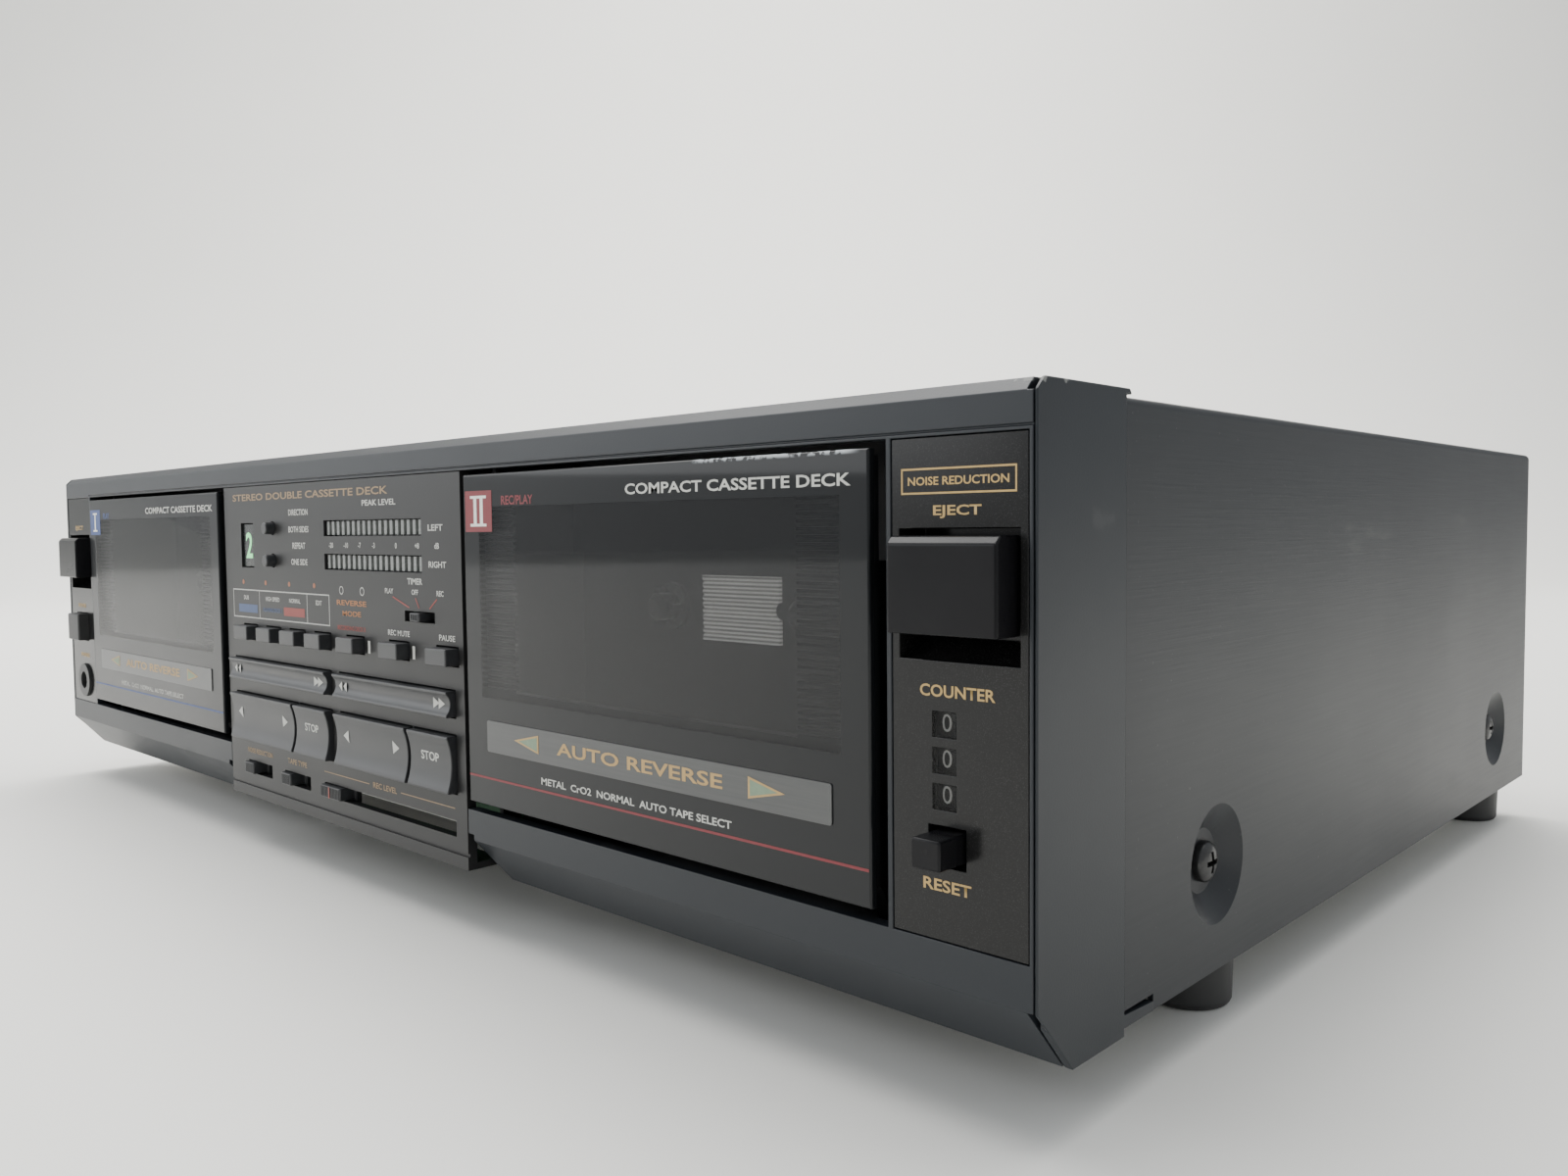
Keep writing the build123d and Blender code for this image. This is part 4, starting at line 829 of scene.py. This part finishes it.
red_print = Print(0)
pointers = (((34.5, 77.6), (42.4, 75.2)), ((45.4, 77.6), (47.0, 75.2)), ((55.2, 77.6), (51.8, 75.2)))
for start, end in pointers:
    red_print.line(start, end, 0.35)
red_print.words("RECORDING DECK II", 12.6, 68.6, 1.2, 15)
red_print.bar(-27.0, -14.0, 70.2, 72.6)
red_print.lay("panel_red", "chassis", ink("red_ink", (0.30, 0.045, 0.035)))

orange_print = Print(0)
orange_print.words("REVERSE", 13.0, 75.2, 1.4, 16.0)
orange_print.words("MODE", 13.0, 72.4, 1.4, 10.0)
orange_print.lay("panel_orange", "chassis", ink("orange_ink", (0.42, 0.17, 0.05)))

blue_print = Print(0)
blue_print.bar(-57.5, -44.5, 70.2, 72.6)
blue_print.words("PLAYING DECK I", -34.5, 71.4, 1.2, 12)
blue_print.lay("panel_blue", "chassis", ink("blue_ink", (0.06, 0.10, 0.22)))

lamps = Print(0)
for x in button_x[:4]:
    lamps.dot(x - 4.3, 79.2, 0.7)
lamps.lay("panel_lamps", "chassis", ink("lamp_amber", (0.35, 0.12, 0.05), 0.15))

# ---------------------------------------------------------------- display and meters
# One clear moulded block carries eighteen bars for each channel, unlit and pale grey, and
# the little window where a green figure shows which deck plays.
BAR_DEPTH = 2.3
display_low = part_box("meter_module")[0] / MM


def meter_paint(w):
    depth = w.place().part("Y") - FRONT
    bar = depth.ease(BAR_DEPTH, BAR_DEPTH - 0.2) * w.place().part("X").ease(-3, -2)
    cloud = w.place().noise(600.0)
    return {
        "Base Color": bar.shade((0.012, 0.015, 0.014), (0.20, 0.21, 0.20)),
        "Roughness": 0.22 + cloud * 0.1,
        "Specular IOR Level": 0.6,
    }


softened("meter_module", "chassis", material("meter_smoke", meter_paint), 0.1)
figure = Print(0.6)
figure.words("2", display_low.x + 4.0, 90.0, 7.6, 4.4)
figure.lay("lit_figure", "chassis", ink("green_glow", (0.25, 0.85, 0.35), 0.9))

# ---------------------------------------------------------------- keys of the panel
# Wide rocker keys with a hollowed face, push buttons and two round pins, all moulded in the
# same satin plastic. The marks on the wide keys are printed in their hollows.
HOLLOW = 1.1
HOLLOW_RIM = 0.6


def hollow_depth(node):
    """How deep the hollowed face of a wide key lies at a height, behind the front face."""
    low, high = (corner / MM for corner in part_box(node))
    middle = (low.z + high.z) / 2
    chord = (high.z - low.z) / 2 - HOLLOW_RIM
    radius = (chord**2 + HOLLOW**2) / (2 * HOLLOW)
    return lambda z: low.y - FRONT + HOLLOW - radius + sqrt(max(radius**2 - (z - middle) ** 2, 0))


for deck in (1, 2):
    for kind in ("wind", "play", "stop"):
        node = f"{kind}_key_{deck}"
        softened(node, f"{kind}_{deck}", key_plastic, 0.3)
        low, high = (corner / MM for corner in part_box(node))
        middle_x = (low.x + high.x) / 2
        middle_z = (low.z + high.z) / 2
        marks = Print(hollow_depth(node))
        if kind == "wind":
            for side in (-1, 1):
                tip = middle_x + side * (high.x - low.x - 9) / 2
                marks.arrow(tip - 1.2, middle_z, 2.6, side * 2.3)
                marks.arrow(tip + 1.2, middle_z, 2.6, side * 2.3)
        elif kind == "play":
            for side in (-1, 1):
                marks.arrow(middle_x + side * (high.x - low.x - 11) / 2, middle_z + 1.2, 3.3, side * 3.0)
        else:
            marks.words("STOP", middle_x, middle_z + 1.2, 2.2, 8.0)
        marks.lay(f"{kind}_marks_{deck}", f"{kind}_{deck}", white_ink)
    softened(f"round_button_{deck}", f"round_{deck}", key_plastic, 0.25)
for number in range(1, 8):
    softened(f"function_button_{number}", f"button_{number}", key_plastic, 0.3)

# ---------------------------------------------------------------- slide knobs
# Small black sliders, each moulded with upright ridges that the fingertip grips.
RIDGE_PITCH = 0.8
RIDGE_PROUD = 0.22
RIDGE_HALF = 0.26
RIDGE_STEPS = 6
RIDGE_SUNK = 0.02


def ridge_mesh(tall):
    """One upright half-round ridge, its back on the origin."""
    turns = [pi * i / RIDGE_STEPS for i in range(RIDGE_STEPS + 1)]
    rim = [(RIDGE_HALF * cos(t), -RIDGE_PROUD * sin(t)) for t in turns]
    shape = bmesh.new()
    ends = []
    for z in (-tall / 2, tall / 2):
        ends.append([shape.verts.new(Vector((x, y, z)) * MM) for x, y in rim])
    for i in range(len(rim)):
        j = (i + 1) % len(rim)
        shape.faces.new((ends[0][i], ends[0][j], ends[1][j], ends[1][i]))
    for end in ends:
        shape.faces.new(end)
    bmesh.ops.recalc_face_normals(shape, faces=shape.faces)
    mesh = bpy.data.meshes.new("ridge")
    shape.to_mesh(mesh)
    shape.free()
    return mesh


def row_tree():
    """Geometry nodes: one shape repeated along a straight row."""
    tree = bpy.data.node_groups.new("row", "GeometryNodeTree")
    kinds = {"Shape": "Object", "Count": "Int", "Start": "Vector", "Step": "Vector", "Finish": "Material"}
    for label, kind in kinds.items():
        tree.interface.new_socket(label, in_out="INPUT", socket_type="NodeSocket" + kind)
    tree.interface.new_socket("Row", in_out="OUTPUT", socket_type="NodeSocketGeometry")
    given = tree.nodes.new("NodeGroupInput")
    wires = {socket.name: Wire(tree, socket) for socket in given.outputs if socket.name}
    w = Wire(tree)
    values = {"Count": wires["Count"], "Start Location": wires["Start"], "Offset": wires["Step"]}
    line = w.node("GeometryNodeMeshLine", {"mode": "OFFSET"}, values)
    shape = w.node("GeometryNodeObjectInfo", {}, {"Object": wires["Shape"]}, "Geometry")
    placed = w.node("GeometryNodeInstanceOnPoints", {}, {"Points": line, "Instance": shape})
    real = w.node("GeometryNodeRealizeInstances", {}, {"Geometry": placed})
    done = w.node("GeometryNodeSetMaterial", {}, {"Geometry": real, "Material": wires["Finish"]})
    tree.links.new(done.socket, tree.nodes.new("NodeGroupOutput").inputs[0])
    return tree


rows_of = row_tree()


def row(name, body, shape_mesh, count, start, step, finish):
    """A row of one shape as a plain mesh, its start and step in mm."""
    piece = add_object(name, bpy.data.meshes.new(name))
    source = add_object(name + "_shape", shape_mesh)
    grow = piece.modifiers.new("grow", "NODES")
    grow.node_group = rows_of
    values = {
        "Shape": source,
        "Count": count,
        "Start": tuple(v * MM for v in start),
        "Step": tuple(v * MM for v in step),
        "Finish": finish,
    }
    for item in rows_of.interface.items_tree:
        if item.in_out == "INPUT":
            grow[item.identifier] = values[item.name]
    piece.data = final_mesh(piece)
    piece.data.shade_smooth()
    piece.data.set_sharp_from_angle(angle=radians(40))
    piece.modifiers.clear()
    bpy.data.objects.remove(source)
    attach(piece, body)
    return piece


for node in ("timer_knob", "switch_knob_1", "switch_knob_2", "level_knob"):
    softened(node, node, key_plastic, 0.2)
    low, high = (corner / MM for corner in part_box(node))
    grip = (high.x - low.x - 2) - 1.2
    count = int(grip / RIDGE_PITCH) + 1
    middle = (low + high) / 2
    start = (middle.x - (count - 1) * RIDGE_PITCH / 2, low.y + RIDGE_SUNK, middle.z)
    ridge = ridge_mesh(high.z - low.z - 2.8)
    row(node + "_ridges", node, ridge, count, start, (RIDGE_PITCH, 0, 0), key_plastic)
low, high = (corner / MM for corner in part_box("level_knob"))
knob_mark = Print(low.y - FRONT - RIDGE_PROUD - 0.02)
knob_mark.bar((low.x + high.x) / 2 - 0.3, (low.x + high.x) / 2 + 0.3, low.z + 1.2, high.z - 1.2)
knob_mark.lay("level_mark", "level_knob", ink("mark_red", (0.33, 0.07, 0.05)))

# ---------------------------------------------------------------- doors
# A smoked acrylic sheet, glued to a moulded frame with ribbed bands beside its window. It is
# clear only in the window and backed with black round it; its top edge is rubbed pale. A grey
# label plate, a coloured badge and printed legends are on the sheet.
WINDOW_HALF = 53.0
WINDOW_LOW = 56.5
WINDOW_TOP = 99.0
WINDOW_FADE = 0.2
RUBBED_LEFT = (145, 149)
RUBBED_RIGHT = (186, 182)
RUBBED_HEIGHT = (105.3, 105.9)
PLATE_PROUD = 0.25
PLATE_SUNK = 0.05
PLATE_HALF = 51.0
PLATE_LOW = 44.5
PLATE_TOP = 51.5
PLATE_WORDS = 48.2
ARROW_OUT = 36.0
INK_LAYER = 0.03
BADGE_OUT = 52.9
BADGE_HALF = 5.3
STROKE_HALF = 0.6
STROKE_PITCH = 2.5
SERIF_TALL = 0.6
deck_x = sum(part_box("door_window_2"), Vector()).x / 2 / MM


def smoked_paint(w):
    wipe = w.place().stretched(1, 1, 3).noise(18.0, 4.0)
    along = w.place().part("X")
    height = w.place().part("Z")
    across = w.maths("ABSOLUTE", w.maths("ABSOLUTE", along) - deck_x)
    over_foot = height.ease(WINDOW_LOW, WINDOW_LOW + WINDOW_FADE)
    under_head = height.ease(WINDOW_TOP, WINDOW_TOP - WINDOW_FADE)
    clear = across.ease(WINDOW_HALF, WINDOW_HALF - WINDOW_FADE) * (over_foot * under_head)
    stretch = along.ease(*RUBBED_LEFT) * along.ease(*RUBBED_RIGHT)
    edge = height.ease(*RUBBED_HEIGHT) * stretch * w.place().noise(900.0, 4.0).ease(0.42, 0.52)
    return {
        "Base Color": edge.shade((0.008, 0.009, 0.010), (0.45, 0.48, 0.50)),
        "Roughness": 0.25 + wipe * 0.2,
        "Specular IOR Level": 0.1,
        "Coat Weight": 0.38 + clear * 0.42,
        "Coat Roughness": 0.04,
        "Alpha": 1 - clear * 0.5,
    }


def door_paint(w):
    cloud = w.place().noise(40.0, 2.0)
    return {
        "Base Color": cloud.shade((0.008, 0.009, 0.010), (0.012, 0.013, 0.014)),
        "Roughness": 0.40 + cloud * 0.06,
    }


def plate_paint(w):
    brush = w.place().stretched(0.03, 1, 1).noise(2200.0, 2.0)
    return {
        "Base Color": brush.shade((0.050, 0.052, 0.052), (0.080, 0.082, 0.080)),
        "Roughness": 0.26 + brush * 0.1,
        "Normal": brush.bump(0.08, 0.00005),
    }


smoked = material("smoked_acrylic", smoked_paint)
door_black = material("door_black", door_paint)
plate_grey = material("plate_grey", plate_paint)
badge_inks = (ink("badge_blue", (0.04, 0.08, 0.25)), ink("badge_red", (0.22, 0.022, 0.028)))
plate_gold = ink("plate_gold", (0.52, 0.34, 0.13))
pale_green = ink("pale_green", (0.22, 0.30, 0.20))
for deck in (1, 2):
    body = f"door_{deck}"
    softened(f"door_window_{deck}", body, smoked, 0.15)
    softened(f"door_frame_{deck}", body, door_black, 0.06)
    low, high = (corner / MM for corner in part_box(f"door_window_{deck}"))
    x = (low.x + high.x) / 2
    face = low.y - FRONT
    sides = (x - PLATE_HALF, x + PLATE_HALF, PLATE_LOW, PLATE_TOP)
    sheet = (*sides, low.y - PLATE_PROUD, low.y + PLATE_SUNK)
    plate = add_object(f"label_plate_{deck}", sheet_mesh("plate", [sheet], 0.5), plate_grey)
    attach(plate, body)
    gold = Print(face - PLATE_PROUD)
    gold.words("AUTO REVERSE", x, PLATE_WORDS, 2.7, 50)
    pale = Print(face - PLATE_PROUD - INK_LAYER)
    for side in (-1, 1):
        gold.arrow(x + side * ARROW_OUT, PLATE_WORDS, 4.0, side * 9.0)
        pale.arrow(x + side * (ARROW_OUT - 0.6), PLATE_WORDS, 3.0, side * 6.8)
    gold.lay(f"plate_words_{deck}", body, plate_gold)
    pale.lay(f"plate_arrows_{deck}", body, pale_green)
    white = Print(face)
    white.words("METAL  CrO2  NORMAL  AUTO TAPE SELECT", x - 2, 40.6, 1.5, 58)
    white.words("COMPACT CASSETTE DECK", x + 27, 101.4, 2.1, 57)
    white.lay(f"door_words_{deck}", body, white_ink)
    trim = Print(face)
    trim.bar(low.x + 0.4, high.x - 0.4, 38.2, 38.7)
    badge_x = x - BADGE_OUT
    trim.bar(badge_x - BADGE_HALF, badge_x + BADGE_HALF, 93.4, 102.5)
    trim.lay(f"door_trim_{deck}", body, badge_inks[deck - 1])
    badge = Print(face - 0.04)
    for stroke in range(deck):
        stroke_x = badge_x + (stroke - (deck - 1) / 2) * STROKE_PITCH
        badge.bar(stroke_x - STROKE_HALF, stroke_x + STROKE_HALF, 95.2, 100.8)
    for z in (94.6, 100.8):
        badge.bar(badge_x - 1.2 - deck, badge_x + 1.2 + deck, z, z + SERIF_TALL)
    # The badge figure shares the drum figures' white ink, with its painted glow.
    badge.lay(f"badge_figure_{deck}", body, figure_white_painted_glow)
    small = Print(face)
    small.words(("PLAY", "REC/PLAY")[deck - 1], (x - 41.0, x - 38.0)[deck - 1], 100.2, 2.0)
    small.lay(f"badge_words_{deck}", body, badge_inks[deck - 1])

# ---------------------------------------------------------------- tape mechanisms
# A black frame behind each door, with a ridged silver reflector and two splined reel hubs.
# Behind it a turned steel flywheel, a drawn motor can and a plated head carriage. The reflector
# has a painted glow and painted pale and dark stripes along its ridges, standing in for the
# light that its ridges catch in the dark well.
RIDGES_PER_MM = 1.15
well_black = plain("well_black", (0.018, 0.018, 0.019), (0.028, 0.028, 0.029), 0.5)
hub_grey = plain("hub_grey", (0.03, 0.03, 0.03), (0.06, 0.06, 0.06), 0.25)


def mirror_paint(w):
    phase = w.place().part("Z") * (2 * pi * RIDGES_PER_MM)
    ridge = w.maths("SINE", phase) * 0.5 + 0.5
    cloud = w.place().noise(90.0, 2.0)
    return {
        # Painted light: pale and dark stripes in the colour along the ridges, as their lit and shaded faces.
        "Base Color": (ridge * 0.8 + cloud * 0.2).shade((0.22, 0.22, 0.21), (0.98, 0.98, 0.95)),
        "Roughness": 0.25 + cloud * 0.1,
        "Metallic": 0.3,
        # Painted glow: the reflector shines in the same stripes though it is no lamp.
        "Emission Color": ridge.shade((0.25, 0.25, 0.24), (0.95, 0.95, 0.90)),
        "Emission Strength": 0.5,
        "Normal": ridge.bump(0.6, 0.0003),
    }


mirror_silver = material("mirror_silver", mirror_paint)
turned_steel = plain("turned_steel", (0.5, 0.5, 0.5), (0.66, 0.66, 0.66), 0.25, 1.0, 900.0)
for deck in (1, 2):
    softened(f"deck_frame_{deck}", "chassis", well_black, 0.15)
    softened(f"flywheel_{deck}", f"flywheel_{deck}", turned_steel, 0.25)
    softened(f"head_carriage_{deck}", f"head_carriage_{deck}", plated, 0.15)
for reel in (1, 2, 3, 4):
    softened(f"reel_spindle_{reel}", f"reel_{reel}", hub_grey, 0.15)
softened("reflectors", "chassis", mirror_silver, 0.05)
softened("motors", "chassis", turned_steel, 0.4)

# ---------------------------------------------------------------- drive belts
# Flat rubber belts, each round a motor pulley and the rim of its flywheel.
BELT_WIDE = 3.0
BELT_THICK = 0.5
PULLEY_RADIUS = 3.05
CAN_RADIUS = 16.0
BELT_CLEAR = 0.08
BELT_BACK = 3


def belt_path(big, big_radius, small, small_radius, steps=24):
    """Points round two circles joined by their outer tangents."""
    dx, dz = small[0] - big[0], small[1] - big[1]
    heading = atan2(dz, dx)
    lean = pi / 2 - (big_radius - small_radius) / hypot(dx, dz)
    path = []
    for i in range(steps + 1):
        t = heading + lean + (2 * pi - 2 * lean) * i / steps
        path.append((big[0] + big_radius * cos(t), big[1] + big_radius * sin(t)))
    for i in range(steps + 1):
        t = heading - lean + 2 * lean * i / steps
        path.append((small[0] + small_radius * cos(t), small[1] + small_radius * sin(t)))
    return path


rubber = plain("belt_rubber", (0.012, 0.012, 0.012), (0.02, 0.02, 0.02), 0.6)
motor_low, motor_high = (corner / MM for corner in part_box("motors"))
pulley_z = motor_low.z + CAN_RADIUS
for deck in (1, 2):
    low, high = (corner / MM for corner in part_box(f"flywheel_{deck}"))
    wheel = ((low.x + high.x) / 2, (low.z + high.z) / 2)
    rim = (high.x - low.x) / 2 + BELT_CLEAR
    pulley = ((motor_low.x, motor_high.x)[deck - 1] + (CAN_RADIUS, -CAN_RADIUS)[deck - 1], pulley_z)
    back = high.y - BELT_BACK
    shape = bmesh.new()
    loops = []
    for grow, y in ((0, back), (BELT_THICK, back), (BELT_THICK, back - BELT_WIDE), (0, back - BELT_WIDE)):
        ring = belt_path(wheel, rim + grow, pulley, PULLEY_RADIUS + grow)
        loops.append([shape.verts.new(Vector((x, y, z)) * MM) for x, z in ring])
    for a, b in zip(loops, loops[1:] + loops[:1]):
        for i in range(len(a)):
            j = (i + 1) % len(a)
            shape.faces.new((a[i], a[j], b[j], b[i]))
    bmesh.ops.recalc_face_normals(shape, faces=shape.faces)
    mesh = bpy.data.meshes.new(f"drive_belt_{deck}")
    shape.to_mesh(mesh)
    shape.free()
    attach(add_object(f"drive_belt_{deck}", mesh, rubber), "chassis")

# ---------------------------------------------------------------- circuit boards
# Green coated laminate with printed tracks. The main board carries sleeved capacitors and
# black chips, the front board the key switches.
BOARD_TOP_UP = 9.4


def board_paint(w):
    height = w.place().part("Z") - board_top
    above = height.ease(0.05, 0.15)
    tracks = w.place().stretched(1, 0.15, 1).noise(260.0, 1.0).ease(0.5, 0.52)
    tall = height.ease(5.5, 6.0)
    green = tracks.shade((0.03, 0.12, 0.05), (0.06, 0.20, 0.08))
    parts = tall.shade((0.015, 0.015, 0.016), (0.03, 0.04, 0.14))
    return {"Base Color": above.shade(green, parts), "Roughness": 0.35}


board_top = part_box("main_board")[0].z / MM + BOARD_TOP_UP
softened("main_board", "chassis", material("main_board_green", board_paint), 0.15)
board_green = plain("board_green", (0.03, 0.12, 0.05), (0.05, 0.17, 0.07), 0.35)
softened("front_board", "chassis", board_green, 0.1)

# ---------------------------------------------------------------- transformer
# A varnished stack of iron laminations round a taped copper winding.


def core_paint(w):
    leaves = w.place().stretched(0.01, 1, 0.01).noise(1800.0, 1.0)
    return {
        "Base Color": leaves.shade((0.05, 0.045, 0.04), (0.14, 0.12, 0.10)),
        "Roughness": 0.4 + leaves * 0.1,
        "Metallic": 0.3,
        "Normal": leaves.bump(0.3, 0.0002),
    }


softened("transformer", "chassis", material("iron_varnish", core_paint), 0.5)
